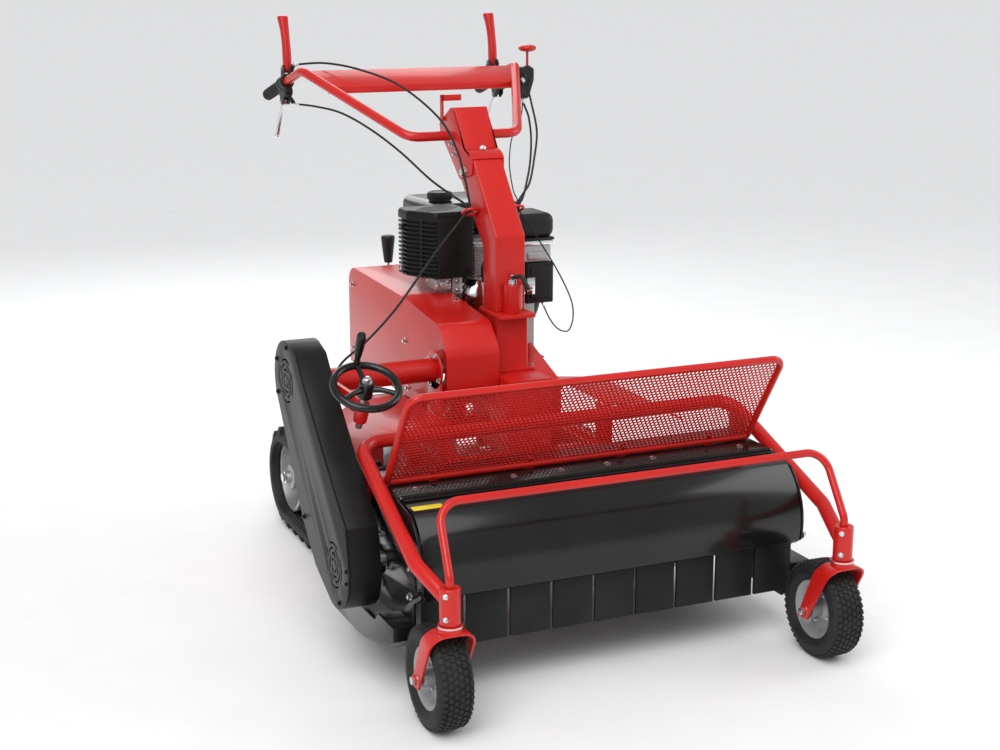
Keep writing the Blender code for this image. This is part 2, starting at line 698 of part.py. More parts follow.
def layshaft_tube():
    """The red tube round the layshaft, with its flanges and the arm that holds the handwheel's nut."""
    y, z = LAY_AT
    inside = LAY_TUBE_R - SHEET
    start, end = -CASE_IN + GAP, -COVER_LEFT - 0.006
    outer = rod((start, y, z), (end, y, z), LAY_TUBE_R, 20)
    flange = rod((start, y, z), (start + 0.006, y, z), 0.050, 16)
    bracket = prism([(y - 0.040, z + 0.030), (y + 0.040, z + 0.040), (y + 0.050, RAIL_Z[1] + GAP),
                     (y - 0.045, RAIL_Z[1] + GAP)], "X", end - 0.010, end - 0.002)
    nut_low, nut_high = WHEEL_HUB - SPINDLE_DIR * 0.100, WHEEL_HUB - SPINDLE_DIR * 0.050
    nut = rod(nut_low, nut_high, 0.016, 12)
    arm = prism([(0.462, 0.620), (0.462, 0.580), (0.715, 0.580), (0.715, 0.620)], "X", -0.505, -0.495)
    solid = weld(outer, flange, bracket, nut, arm)
    return cut(solid, bore((start - 0.01, y, z), (end + 0.01, y, z), inside),
               bore(nut_low - SPINDLE_DIR * 0.01, nut_high + SPINDLE_DIR * 0.01, SPINDLE_R + GAP))


def cover_outline():
    corners = [Vector(p) for p in ((1.420, 0.475), (1.420, 0.750), (1.000, 0.736), (0.740, 0.708),
                                   (0.688, 0.650), (0.688, 0.552), (0.900, 0.475))]
    return [tuple(p) for p in fillet(corners, [0.010, 0.050, 0.30, 0.050, 0.060, 0.010, 0.050], 4, closed=True)]


def belt_cover():
    shell = tray(cover_outline(), SHEET, -COVER_LEFT, -COVER_LEFT + SHEET, -COVER_RIGHT)
    return cut(shell, bore((-0.25, *LAY_AT), (-0.19, *LAY_AT), LAY_TUBE_R + CLEAR))


def engine_pulley():
    hub = pulley(CRANK_AT, ENGINE_PULLEY_R, -COVER_PULLEY_X[1], -COVER_PULLEY_X[0], LAY_SHAFT_R - EPS)
    return weld(hub, rod((-COVER_PULLEY_X[1] - 0.008, *CRANK_AT), (ENGINE_X[0] - GAP, *CRANK_AT), LAY_SHAFT_R))


# --- Tracks -----------------------------------------------------------------------------------
def track_z():
    return BELT_R + LUG_H


def rubber_track():
    """A belt with square lugs all round, as one ring."""
    z = track_z()
    span = SPROCKET_Y - IDLER_Y
    half_turn = math.pi * BELT_R
    length = 2 * (span + half_turn)

    def on_path(s, height):
        s %= length
        reach = BELT_R + height
        if s < span:
            return (IDLER_Y + s, z + reach)
        s -= span
        if s < half_turn:
            a = math.pi / 2 - s / BELT_R
            return (SPROCKET_Y + reach * math.cos(a), z + reach * math.sin(a))
        s -= half_turn
        if s < span:
            return (SPROCKET_Y - s, z - reach)
        a = -math.pi / 2 - (s - span) / BELT_R
        return (IDLER_Y + reach * math.cos(a), z + reach * math.sin(a))

    pitch = length / LUG_COUNT
    outline = []
    for i in range(LUG_COUNT):
        s = i * pitch
        outline += [on_path(s, 0), on_path(s + 0.12 * pitch, LUG_H), on_path(s + 0.42 * pitch, LUG_H),
                    on_path(s + 0.54 * pitch, 0)]
    inner_r = BELT_R - BELT_T
    inner = loop_outline((IDLER_Y, z), inner_r, (SPROCKET_Y, z), inner_r, 10, hollow=True)
    ring = cut(prism(outline, "X", TRACK_IN, TRACK_OUT), prism(inner, "X", TRACK_IN - 0.01, TRACK_OUT + 0.01))
    return ring


def track_wheel(y, hole):
    """A dished wheel inside the track, with its own boss."""
    middle = (TRACK_IN + TRACK_OUT) / 2
    rim, boss, web = BELT_R - BELT_T - 0.001, 0.036, 0.008
    half = WHEEL_HALF
    profile = [(hole, -half), (boss, -half), (boss, -web), (rim - 0.012, -web), (rim - 0.012, -half), (rim, -half),
               (rim, half), (rim - 0.012, half), (rim - 0.012, web), (boss, web), (boss, half), (hole, half)]
    return turned(profile, (middle, y, track_z()), (1, 0, 0), 16, solid=False)


def sprocket():
    middle = (TRACK_IN + TRACK_OUT) / 2
    z = track_z()
    axle = rod((0.2003, SPROCKET_Y, z), (middle + WHEEL_HALF + 0.014, SPROCKET_Y, z), TRACK_AXLE_R)
    return weld(track_wheel(SPROCKET_Y, TRACK_AXLE_R - EPS), axle)


def idler():
    return track_wheel(IDLER_Y, flats(TRACK_AXLE_R + GAP, 16))


def transaxle():
    z = track_z()
    case = box((-0.100, 0.100), (1.345, 1.495), (0.090, RAIL_Z[0] - GAP), 0.012)
    axle_tube = rod((-0.200, SPROCKET_Y, z), (0.200, SPROCKET_Y, z), 0.032, 16)
    return weld(case, axle_tube)


# --- Chassis ----------------------------------------------------------------------------------
def chassis():
    """Rails, cross members, track arms, engine plate, fenders and the housing under the column."""
    z = track_z()
    pieces = []
    rail = box(RAIL_X, (DECK_BACK + GAP, 1.500), RAIL_Z)
    upright = box((RAIL_X[0] + 0.003, RAIL_X[1] - 0.003), (0.900, 0.950), (z - 0.020, RAIL_Z[0] + EPS))
    rear_upright = box((RAIL_X[0] + 0.003, RAIL_X[1] - 0.003), (1.230, 1.280), (z - 0.020, RAIL_Z[0] + EPS))
    arm = box((TRACK_IN + 0.006, TRACK_IN + 0.018), (0.730, 1.320), (z - 0.040, z + 0.040))
    skid_rail = box((TRACK_IN + 0.017, TRACK_IN + 0.120), (0.900, 1.300), (z - 0.030, z + 0.030))
    tie = box((RAIL_X[1] - 0.010, TRACK_IN + 0.010), (0.905, 0.945), (z - 0.015, z + 0.025))
    rear_tie = box((RAIL_X[1] - 0.010, TRACK_IN + 0.010), (1.235, 1.275), (z - 0.015, z + 0.025))
    pin = rod((TRACK_IN + 0.016, IDLER_Y, z), ((TRACK_IN + TRACK_OUT) / 2 + WHEEL_HALF + 0.012, IDLER_Y, z),
              TRACK_AXLE_R)
    fender = prism([(0.222, 0.489), (0.360, 0.474), (0.440, 0.424), (0.440, 0.420), (0.359, 0.470),
                    (0.222, 0.485)], "Y", 0.640, 0.960)
    fender_leg = box((0.205, 0.235), (0.645, 0.680), (RAIL_Z[1] - 0.005, 0.487))
    pieces += both_sides([rail, upright, rear_upright, arm, skid_rail, tie, rear_tie, pin, fender, fender_leg])
    inner = RAIL_X[0] + EPS
    for y0, y1 in ((0.630, 0.680), (1.020, 1.070), (1.300, 1.340)):
        pieces.append(box((-inner, inner), (y0, y1), (RAIL_Z[0] + 0.002, RAIL_Z[1] - 0.002)))
    post_top = PLATE_Z - SHEET
    for x0, x1 in ((-0.050, -0.010), (0.160, 0.200)):
        for y0, y1 in ((1.022, 1.068), (1.302, 1.338)):
            top = post_top + EPS
            pieces.append(box((x0, x1), (y0, y1), (RAIL_Z[1] - 0.004, top)))
    pieces.append(box((-0.052, 0.215), (1.010, 1.400), (post_top, PLATE_Z)))
    pieces.append(box((-0.058, 0.058), (0.632, 0.865), (RAIL_Z[1] - 0.004, PEDESTAL_LOW - GAP)))
    pieces.append(prism([(0.690, 0.420), (0.690, 0.535), (0.705, 0.552), (0.870, 0.610), (0.870, 0.420)],
                        "X", 0.0565, 0.112))
    pieces.append(box((0.050, 0.108), (0.700, 0.860), (RAIL_Z[1] - 0.003, 0.430)))
    return weld(*pieces)


def column_pedestal():
    y = SWIVEL_Y - 0.003
    post = box((-0.045, 0.045), (y - 0.047, y + 0.047), (PEDESTAL_LOW, PEDESTAL_TOP - 0.005), 0.004)
    flange = box((-0.0555, 0.0555), (y - 0.064, y + 0.064), (PEDESTAL_LOW, PEDESTAL_LOW + 0.008))
    index = box((-0.047, 0.047), (0.706, y + 0.052), (PEDESTAL_TOP - 0.010, PEDESTAL_TOP))
    return weld(post, flange, index)


# --- Engine -----------------------------------------------------------------------------------
def engine_block():
    x0, x1 = ENGINE_X
    case = box((x0, x1), (1.040, 1.360), (PLATE_Z + GAP, 0.760), 0.015)
    barrel = box((0.000, 0.165), (1.000, 1.150), (0.680, 0.858), 0.010)
    recoil = turned([(0.120, 0), (0.120, 0.035), (0.085, 0.062)],
                    (x1 - EPS, *CRANK_AT), (1, 0, 0), 20)
    controls = box((0.150, 0.230), (0.985, 1.070), (0.690, 0.797), 0.006)
    dome = turned([(0.055, 0), (0.055, 0.020), (0.040, 0.045), (0.015, 0.054)],
                  (0.045, 1.041, 0.690), (0, -1, 0), 16)
    boss = rod((0.160, 1.060, 0.820), (0.160, 1.060, 0.845), 0.020)
    return weld(case, barrel, recoil, controls, dome, boss)


def fuel_tank():
    return box((-0.060, 0.200), (1.125, 1.370), (0.860, TANK_TOP), 0.020)


def fuel_cap():
    x, y = CAP_AT
    return turned([(CAP_R - 0.004, 0), (CAP_R, 0.004), (CAP_R, 0.020), (CAP_R - 0.003, 0.026)],
                  (x, y, TANK_TOP + GAP), (0, 0, 1), 20)


def muffler_guard():
    return box((-0.166, -0.004), (0.965, 1.115), (0.775, 0.950), 0.018)


def air_filter():
    return box((0.110, 0.230), (0.975, 1.105), (0.8585, 0.930), 0.018)


def gear_lever():
    x, y, z = BODIES["gear_lever"]
    stem = rod((x, y, z - 0.020), (x, y, z + 0.310), 0.005, 8)
    knob = turned([(0.012, 0), (0.020, 0.066), (0.017, 0.076), (0.008, 0.079)], (x, y, z + 0.300), (0, 0, 1), 12)
    return weld(stem, knob)


# --- Column and handlebar ---------------------------------------------------------------------
def steering_column():
    """A vertical box that leans back at half height, with its lock boss, tilt bolt and cable rings."""
    y = SWIVEL_Y
    side = [(0.755, COLUMN_LOW), (0.755, 0.915), (0.935, 1.095), (0.975, 1.075), (0.985, 1.030),
            (0.835, 0.880), (0.835, COLUMN_LOW)]
    tube_box = prism(side, "X", -COLUMN_HALF, COLUMN_HALF)
    boss = cut(weld(tube_box, rod((0, LOCK_Y, COLUMN_LOW + GAP), (0, LOCK_Y, LOCK_TOP), 0.024, 16)),
               bore((0, LOCK_Y, COLUMN_LOW - 0.01), (0, LOCK_Y, LOCK_TOP + 0.01), LOCK_PIN_R + GAP))
    reach = COLUMN_HALF + HEAD_WALL + 0.010
    bolt = rod((-reach, *TILT_AT), (reach, *TILT_AT), 0.006, 10)
    heads = [rod((s * (COLUMN_HALF + HEAD_WALL + 2 * GAP + EPS), *TILT_AT), (s * reach, *TILT_AT), 0.011, 6)
             for s in (-1, 1)]
    lean = Vector((0, 0.5, 0.85)).normalized()
    ring = tube([RING_AT + Vector((RING_R * math.cos(a), 0, 0)) + lean.cross(Vector((1, 0, 0))) * RING_R * math.sin(a)
                 for a in (2 * math.pi * k / 14 for k in range(14))], RING_WIRE, 6, closed=True)
    foot = rod((COLUMN_HALF - 0.004, RING_AT.y, RING_AT.z), (COLUMN_HALF + 0.006, RING_AT.y, RING_AT.z), 0.006, 8)
    return weld(boss, bolt, *heads, *both_sides([ring, foot]))


def lock_pin():
    """A spring pin in its boss, with a turned-over lever on top."""
    y, top = LOCK_Y, LOCK_TOP
    pin = rod((0, y, COLUMN_LOW + EPS), (0, y, top + 0.024), LOCK_PIN_R, 12)
    collar = rod((0, y, top + GAP), (0, y, top + 0.012), 0.0125, 12)
    lever = tube(fillet([(0, y - 0.002, top + 0.018), (0.014, y - 0.024, top + 0.024), (0.024, y - 0.040, top - 0.010)],
                        0.012, 3), 0.005, 8)
    return weld(pin, collar, lever)


def head_shell():
    """Two cheeks beside the column, joined by a folded front and top."""
    outer_x, inner_x = COLUMN_HALF + GAP + HEAD_WALL, COLUMN_HALF + GAP
    side = [(0.895, 1.052), *arc(TILT_AT, 0.0573, 140, 84, 4), (1.006, 1.213), (1.036, 1.210), (1.112, 1.165),
            (1.105, 1.140), (0.975, 1.032)]
    cheek = prism(side, "X", inner_x, outer_x)
    fold = [*arc(TILT_AT, 0.0575, 140, 84, 4), (1.006, 1.213), (1.036, 1.210), (1.112, 1.165)]
    under = [(1.109, 1.160), (1.034, 1.205), (1.009, 1.207), *arc(TILT_AT, 0.0535, 84, 140, 4)]
    wrap = prism(fold + under, "X", -(inner_x + EPS), inner_x + EPS)
    eye = bore((inner_x - 0.01, *TILT_AT), (outer_x + 0.01, *TILT_AT), 0.006 + GAP)
    return [wrap, *both_sides([cut(cheek, eye)])]


def grip_direction():
    return (BAR_END - BAR_HIGH).normalized()


def bar_at(y):
    """The point on the right handle's axis at this y."""
    return BAR_HIGH.lerp(BAR_END, (y - BAR_HIGH.y) / (BAR_END.y - BAR_HIGH.y))


def handlebar():
    left = [Vector((-p.x, p.y, p.z)) for p in (BAR_END, BAR_HIGH, BAR_LOW)]
    path = fillet([*left, BAR_LOW, BAR_HIGH, BAR_END], [0, 0.055, 0.045, 0.045, 0.055, 0], 5)
    bar = tube(path, BAR_R, 10)
    along = (BAR_LOW - BAR_HIGH).normalized()
    top = BAR_HIGH + along * 0.004
    low = BAR_HIGH + along * 0.112
    normal = Vector((1, 0, 0)).cross(along).normalized()
    bm = bmesh.new()
    rings = []
    for off in (-0.0015, 0.0015):
        ring = []
        for x, p in ((-top.x, top), (top.x, top), (low.x, low), (-low.x, low)):
            ring.append(bm.verts.new(Vector((x, p.y, p.z)) + normal * off))
        rings.append(ring)
    bm.faces.new(rings[0])
    bm.faces.new(list(reversed(rings[1])))
    for i in range(4):
        bm.faces.new((rings[0][i], rings[1][i], rings[1][(i + 1) % 4], rings[0][(i + 1) % 4]))
    panel = to_mesh(bm)
    lip = box((-low.x, low.x), (low.y - 0.0015, low.y + 0.0015), (low.z - 0.018, low.z))
    here, step = bar_at(1.572), grip_direction() * 0.022
    ring = rod(here - step, here + step, 0.021, 12)
    x, y, z = BODIES["presence_lever_right"]
    ear_up = box((x - 0.007, x + 0.007), (y - 0.014, y + 0.012), (here.z, z - 0.0142))
    x, y, z = BODIES["brake_lever_right"]
    ear_low = box((x - 0.006, x + 0.006), (y - 0.012, y + 0.012), (z + 0.010, here.z))
    switch = box((0.324, 0.378), (1.432, 1.472), (1.190, BODIES["stop_knob"].z), 0.003)
    return weld(bar, *head_shell(), panel, lip, *both_sides([ring, ear_up, ear_low]), switch)


def grip():
    start, end = BAR_END - grip_direction() * GRIP_LENGTH, BAR_END + grip_direction() * 0.004
    length = (end - start).length
    hole, floor = flats(BAR_R + GAP, 14), length - 0.004 + GAP
    profile = [(GRIP_R - 0.003, length), (GRIP_R, length - 0.004), (GRIP_R, 0.003),
               (GRIP_R - 0.002, 0), (hole, 0), (hole, floor)]
    return turned(profile, start, grip_direction(), 14)


def presence_lever():
    """The upright hold-to-run lever in front of a grip."""
    x, y, z = BODIES["presence_lever_right"]
    side = [*arc((y, z), 0.0138, 180, 360, 6), (y + 0.013, z + 0.045), (y + 0.046, z + 0.134),
            (y + 0.038, z + 0.142), (y + 0.022, z + 0.138), (y - 0.010, z + 0.045)]
    return prism(side, "X", x - 0.011, x + 0.011)


def brake_lever():
    x, y, z = BODIES["brake_lever_right"]
    side = [*arc((y, z), 0.0095, 180, 0, 5), (y + 0.030, z - 0.030), (y + 0.052, z - 0.080),
            (y + 0.064, z - 0.112), (y + 0.054, z - 0.114), (y + 0.038, z - 0.082), (y + 0.012, z - 0.036)]
    return prism(side, "X", x - 0.005, x + 0.005)


def tilt_lever():
    """A flat release bar beside the head, turned over its top."""
    x, y, z = BODIES["tilt_lever"]
    near = COLUMN_HALF + GAP + HEAD_WALL + GAP
    blade = box((-near - 0.004, -near), (y - 0.009, y + 0.009), (z - 0.012, 1.240))
    top = box((-near - 0.004, 0.004), (y - 0.009, y - 0.005), (1.224, 1.240))
    return weld(blade, top)


def stop_knob():
    x, y, z = BODIES["stop_knob"]
    return turned([(0.004, 0), (0.004, 0.038), (0.016, 0.040), (0.026, 0.046), (0.025, 0.053),
                   (0.012, 0.059)], (x, y, z + GAP), (0, 0, 1), 16)


# --- Handwheel --------------------------------------------------------------------------------
def across_wheel():
    return Vector((0, SPINDLE_DIR.z, -SPINDLE_DIR.y))


def handwheel():
    side = Vector((1, 0, 0))
    back = across_wheel()
    steps = 24
    rim = tube([WHEEL_HUB + WHEEL_RIM_R * (side * math.cos(a) + back * math.sin(a))
                for a in (2 * math.pi * k / steps for k in range(steps))], WHEEL_WIRE_R, 8, closed=True)
    hub = rod(WHEEL_HUB - SPINDLE_DIR * 0.026, WHEEL_HUB + SPINDLE_DIR * 0.014, 0.017, 14)
    spokes = []
    for k in range(3):
        a = math.pi / 2 + 2 * math.pi * k / 3
        way = side * math.cos(a) + back * math.sin(a)
        spokes.append(rod(WHEEL_HUB + way * 0.010, WHEEL_HUB + way * WHEEL_RIM_R, 0.0065, 8))
    spindle = rod(WHEEL_HUB - SPINDLE_DIR * 0.122, WHEEL_HUB, SPINDLE_R)
    return weld(rim, hub, *spokes, spindle)


def crank_handle():
    base = BODIES["crank_handle"] + SPINDLE_DIR * (WHEEL_WIRE_R + GAP)
    length = CRANK_LENGTH
    profile = [(0.007, 0), (0.008, 0.010), (0.011, length * 0.8), (0.0095, length - 0.002), (0.007, length)]
    return turned(profile, base, SPINDLE_DIR, 12)


# --- Cables -----------------------------------------------------------------------------------
# Each route runs from a control to its guide ring, or from a ring to the machine.
CABLES = {
    "cable_clutch_upper": ("handlebar", CABLE_R, [
        (-0.304, 1.536, 1.2985), (-0.247, 1.440, 1.306), (-0.185, 1.330, 1.293), (-0.124, 1.190, 1.258),
        (-0.085, 1.020, 1.189), (-0.072, 0.930, 1.118), (-0.067, 0.885, 1.043), (-0.063, 0.868, 0.990)]),
    "cable_drive_upper": ("handlebar", CABLE_R, [
        (-0.303, 1.545, 1.190), (-0.262, 1.480, 1.186), (-0.220, 1.390, 1.174), (-0.181, 1.270, 1.140),
        (-0.145, 1.140, 1.091), (-0.117, 1.000, 1.034), (-0.092, 0.900, 0.996), (-0.074, 0.872, 0.988)]),
    "cable_height_lower": ("column", CABLE_R, [
        (-0.070, 0.862, 0.966), (-0.105, 0.842, 0.940), (-0.169, 0.804, 0.892), (-0.239, 0.761, 0.834),
        (-0.325, 0.708, 0.764), (-0.412, 0.658, 0.709), (-0.483, 0.630, 0.670), (-0.508, 0.622, 0.640)]),
    "cable_clutch_right": ("handlebar", CABLE_R, [
        (0.337, 1.425, 1.250), (0.339, 1.395, 1.226), (0.322, 1.327, 1.183), (0.281, 1.205, 1.120),
        (0.214, 1.079, 1.059), (0.144, 0.955, 1.012), (0.084, 0.878, 0.996), (0.066, 0.868, 0.990)]),
    "cable_drive_right": ("handlebar", CABLE_R, [
        (0.337, 1.425, 1.190), (0.335, 1.400, 1.170), (0.323, 1.349, 1.145), (0.285, 1.251, 1.098),
        (0.222, 1.122, 1.044), (0.146, 0.986, 0.994), (0.090, 0.890, 0.978), (0.076, 0.874, 0.974)]),
    "cable_throttle_lower": ("column", THIN_CABLE_R, [
        (0.070, 0.862, 0.966), (0.086, 0.866, 0.940), (0.114, 0.874, 0.906), (0.160, 0.892, 0.848),
        (0.214, 0.915, 0.775), (0.258, 0.935, 0.700), (0.271, 0.949, 0.648), (0.262, 0.960, 0.611),
        (0.236, 0.968, 0.617), (0.214, 0.974, 0.645), (0.204, 0.978, 0.672)]),
}


def add_cables(builder):
    for name, (body, radius, route) in CABLES.items():
        spacing = max(0.016, 6 * radius)
        mesh = tube(smooth_route(route, spacing), radius, 8)
        builder.add(name, mesh, "rubber", body)


# --- The whole machine ------------------------------------------------------------------------
def main():
    clear_scene()
    builder = Builder()
    add = builder.add
    add("deck_shell", deck_shell(), "black_paint")
    add("rotor", rotor(), "steel", "rotor")
    add("rotor_pulley", rotor_pulley(), "steel", "rotor")
    add("hood", hood(), "black_paint", "hood")
    add("flap_curtain", flap_curtain(), "rubber", "flaps")
    add("guard", guard(), "red_paint")
    add("caster_frame", caster_frame(), "red_paint", "caster_frame")
    add("front_hoop", front_hoop(), "red_paint", "caster_frame")
    for name, maker, material, body in (
        ("caster_fork", caster_fork, "red_paint", "caster"),
        ("caster_rim", caster_rim, "grey_paint", "caster_wheel"),
        ("caster_tyre", caster_tyre, "rubber", "caster_wheel"),
        ("rubber_track", rubber_track, "rubber", "root"),
        ("drive_sprocket", sprocket, "steel", "sprocket"),
        ("track_idler", idler, "steel", "idler"),
        ("grip", grip, "rubber", "handlebar"),
        ("presence_lever", presence_lever, "red_paint", "presence_lever"),
        ("brake_lever", brake_lever, "chrome", "brake_lever"),
    ):
        right = maker()
        single = body in ("root", "handlebar")
        add(name + "_right", right, material, body if single else body + "_right")
        add(name + "_left", mirrored(right), material, body if single else body + "_left")
    add("belt_case_tray", belt_case_tray(), "black_paint")
    add("belt_case_lid", belt_case_lid(), "black_paint")
    add("layshaft_tube", layshaft_tube(), "red_paint")
    add("layshaft", layshaft(), "steel", "layshaft")
    add("rotor_belt", belt(ROTOR_AT, ROTOR_PULLEY_R, LAY_AT, LAY_PULLEY_R, -CASE_PULLEY_X[1] + 0.006,
                           -CASE_PULLEY_X[0] - 0.006, CASE_BELT_T), "rubber")
    add("belt_cover", belt_cover(), "red_paint")
    add("engine_pulley", engine_pulley(), "steel", "engine_crank")
    add("engine_belt", belt(LAY_AT, DRIVE_PULLEY_R, CRANK_AT, ENGINE_PULLEY_R, -COVER_PULLEY_X[1] + 0.006,
                            -COVER_PULLEY_X[0] - 0.006, 0.009), "rubber")
    add("transaxle", transaxle(), "cast_alloy")
    add("chassis", chassis(), "red_paint")
    add("column_pedestal", column_pedestal(), "red_paint")
    add("engine_block", engine_block(), "cast_alloy")
    add("fuel_tank", fuel_tank(), "black_plastic")
    add("fuel_cap", fuel_cap(), "black_plastic", "fuel_cap")
    add("muffler_guard", muffler_guard(), "black_paint")
    add("air_filter", air_filter(), "black_plastic")
    add("gear_lever", gear_lever(), "black_plastic", "gear_lever")
    add("steering_column", steering_column(), "red_paint", "column")
    add("lock_pin", lock_pin(), "chrome", "lock_pin")
    add("handlebar", handlebar(), "red_paint", "handlebar")
    add("tilt_lever", tilt_lever(), "red_paint", "tilt_lever")
    add("stop_knob", stop_knob(), "red_paint", "stop_knob")
    add("handwheel", handwheel(), "black_plastic", "handwheel")
    add("crank_handle", crank_handle(), "black_plastic", "crank_handle")
    add_cables(builder)


main()
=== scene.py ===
import json
import math

import bmesh
import bpy
from mathutils import Matrix, Vector

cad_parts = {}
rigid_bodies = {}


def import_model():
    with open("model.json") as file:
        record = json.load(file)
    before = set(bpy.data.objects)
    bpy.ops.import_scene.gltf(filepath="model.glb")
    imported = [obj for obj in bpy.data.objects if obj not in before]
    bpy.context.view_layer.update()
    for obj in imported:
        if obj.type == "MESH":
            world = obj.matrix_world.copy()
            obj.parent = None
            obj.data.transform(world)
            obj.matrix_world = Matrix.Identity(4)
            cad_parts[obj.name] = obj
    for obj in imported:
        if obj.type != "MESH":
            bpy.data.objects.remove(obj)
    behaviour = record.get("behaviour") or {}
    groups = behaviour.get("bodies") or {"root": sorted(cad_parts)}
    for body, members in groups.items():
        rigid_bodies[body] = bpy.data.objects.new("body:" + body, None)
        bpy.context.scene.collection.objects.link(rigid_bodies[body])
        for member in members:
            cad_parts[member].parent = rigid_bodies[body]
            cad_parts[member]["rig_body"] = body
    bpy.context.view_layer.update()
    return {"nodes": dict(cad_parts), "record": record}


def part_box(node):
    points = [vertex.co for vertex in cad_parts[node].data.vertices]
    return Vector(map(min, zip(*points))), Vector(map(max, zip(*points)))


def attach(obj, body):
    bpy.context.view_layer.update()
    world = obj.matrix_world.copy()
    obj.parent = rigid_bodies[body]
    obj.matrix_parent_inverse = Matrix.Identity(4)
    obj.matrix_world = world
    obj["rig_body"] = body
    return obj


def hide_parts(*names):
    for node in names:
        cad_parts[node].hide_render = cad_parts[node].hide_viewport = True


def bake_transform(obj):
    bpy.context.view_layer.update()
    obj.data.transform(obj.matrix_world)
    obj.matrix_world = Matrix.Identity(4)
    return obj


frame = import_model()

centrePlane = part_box("transaxle")
shift = Vector(((centrePlane[0].x + centrePlane[1].x) / 2, -0.8301, 0.0))  # shapes below have X = 0 on the centre plane
tau = 2 * math.pi

view = {"place": (-1.705, -3.039, 1.582), "tilt": 76.2, "turn": -23.839, "lens": 60.99}
camera = bpy.data.objects.new("viewCamera", bpy.data.cameras.new("viewCamera"))
camera.data.lens, camera.data.sensor_width = view["lens"], 36.0
camera.data.clip_end = 500
camera.location = Vector(view["place"]) + shift
camera.rotation_euler = (math.radians(view["tilt"]), 0, math.radians(view["turn"]))
bpy.context.scene.collection.objects.link(camera)
bpy.context.scene.camera = camera


# finishes: (material, slot)
def surface(name, colour, other, rough, metallic=0.0, coat=0.0, patch=6.0, grain=400.0, bump=0.05, depth=0.0002,
            stretch=(1, 1, 1), roughSpread=0.08, spread=(0.35, 0.65), turn=(0, 0, 0), shine=0.5):
    # two close colours in soft patches, a fine grain in the relief, and a roughness that drifts a little
    made = bpy.data.materials.new(name)
    made.use_nodes = True
    nodes, links = made.node_tree.nodes, made.node_tree.links
    shader = nodes["Principled BSDF"]
    place = nodes.new("ShaderNodeTexCoord")
    mapping = nodes.new("ShaderNodeMapping")
    mapping.inputs["Scale"].default_value = stretch
    mapping.inputs["Rotation"].default_value = turn
    links.new(place.outputs["Object"], mapping.inputs["Vector"])
    patches = nodes.new("ShaderNodeTexNoise")
    patches.inputs["Scale"].default_value = patch
    patches.inputs["Detail"].default_value = 5.0
    links.new(mapping.outputs["Vector"], patches.inputs["Vector"])
    ramp = nodes.new("ShaderNodeValToRGB")
    ramp.color_ramp.elements[0].position, ramp.color_ramp.elements[1].position = spread
    ramp.color_ramp.elements[0].color = (*colour, 1)
    ramp.color_ramp.elements[1].color = (*other, 1)
    links.new(patches.outputs["Fac"], ramp.inputs["Fac"])
    links.new(ramp.outputs["Color"], shader.inputs["Base Color"])
    drift = nodes.new("ShaderNodeMapRange")
    drift.inputs["To Min"].default_value = max(0.02, rough - roughSpread / 2)
    drift.inputs["To Max"].default_value = rough + roughSpread / 2
    links.new(patches.outputs["Fac"], drift.inputs["Value"])
    links.new(drift.outputs["Result"], shader.inputs["Roughness"])
    fine = nodes.new("ShaderNodeTexNoise")
    fine.inputs["Scale"].default_value = grain
    fine.inputs["Detail"].default_value = 3.0
    links.new(mapping.outputs["Vector"], fine.inputs["Vector"])
    relief = nodes.new("ShaderNodeBump")
    relief.inputs["Strength"].default_value = bump
    relief.inputs["Distance"].default_value = depth
    links.new(fine.outputs["Fac"], relief.inputs["Height"])
    links.new(relief.outputs["Normal"], shader.inputs["Normal"])
    shader.inputs["Metallic"].default_value = metallic
    shader.inputs["Coat Weight"].default_value = coat
    shader.inputs["Coat Roughness"].default_value = 0.06
    shader.inputs["Specular IOR Level"].default_value = shine
    return made


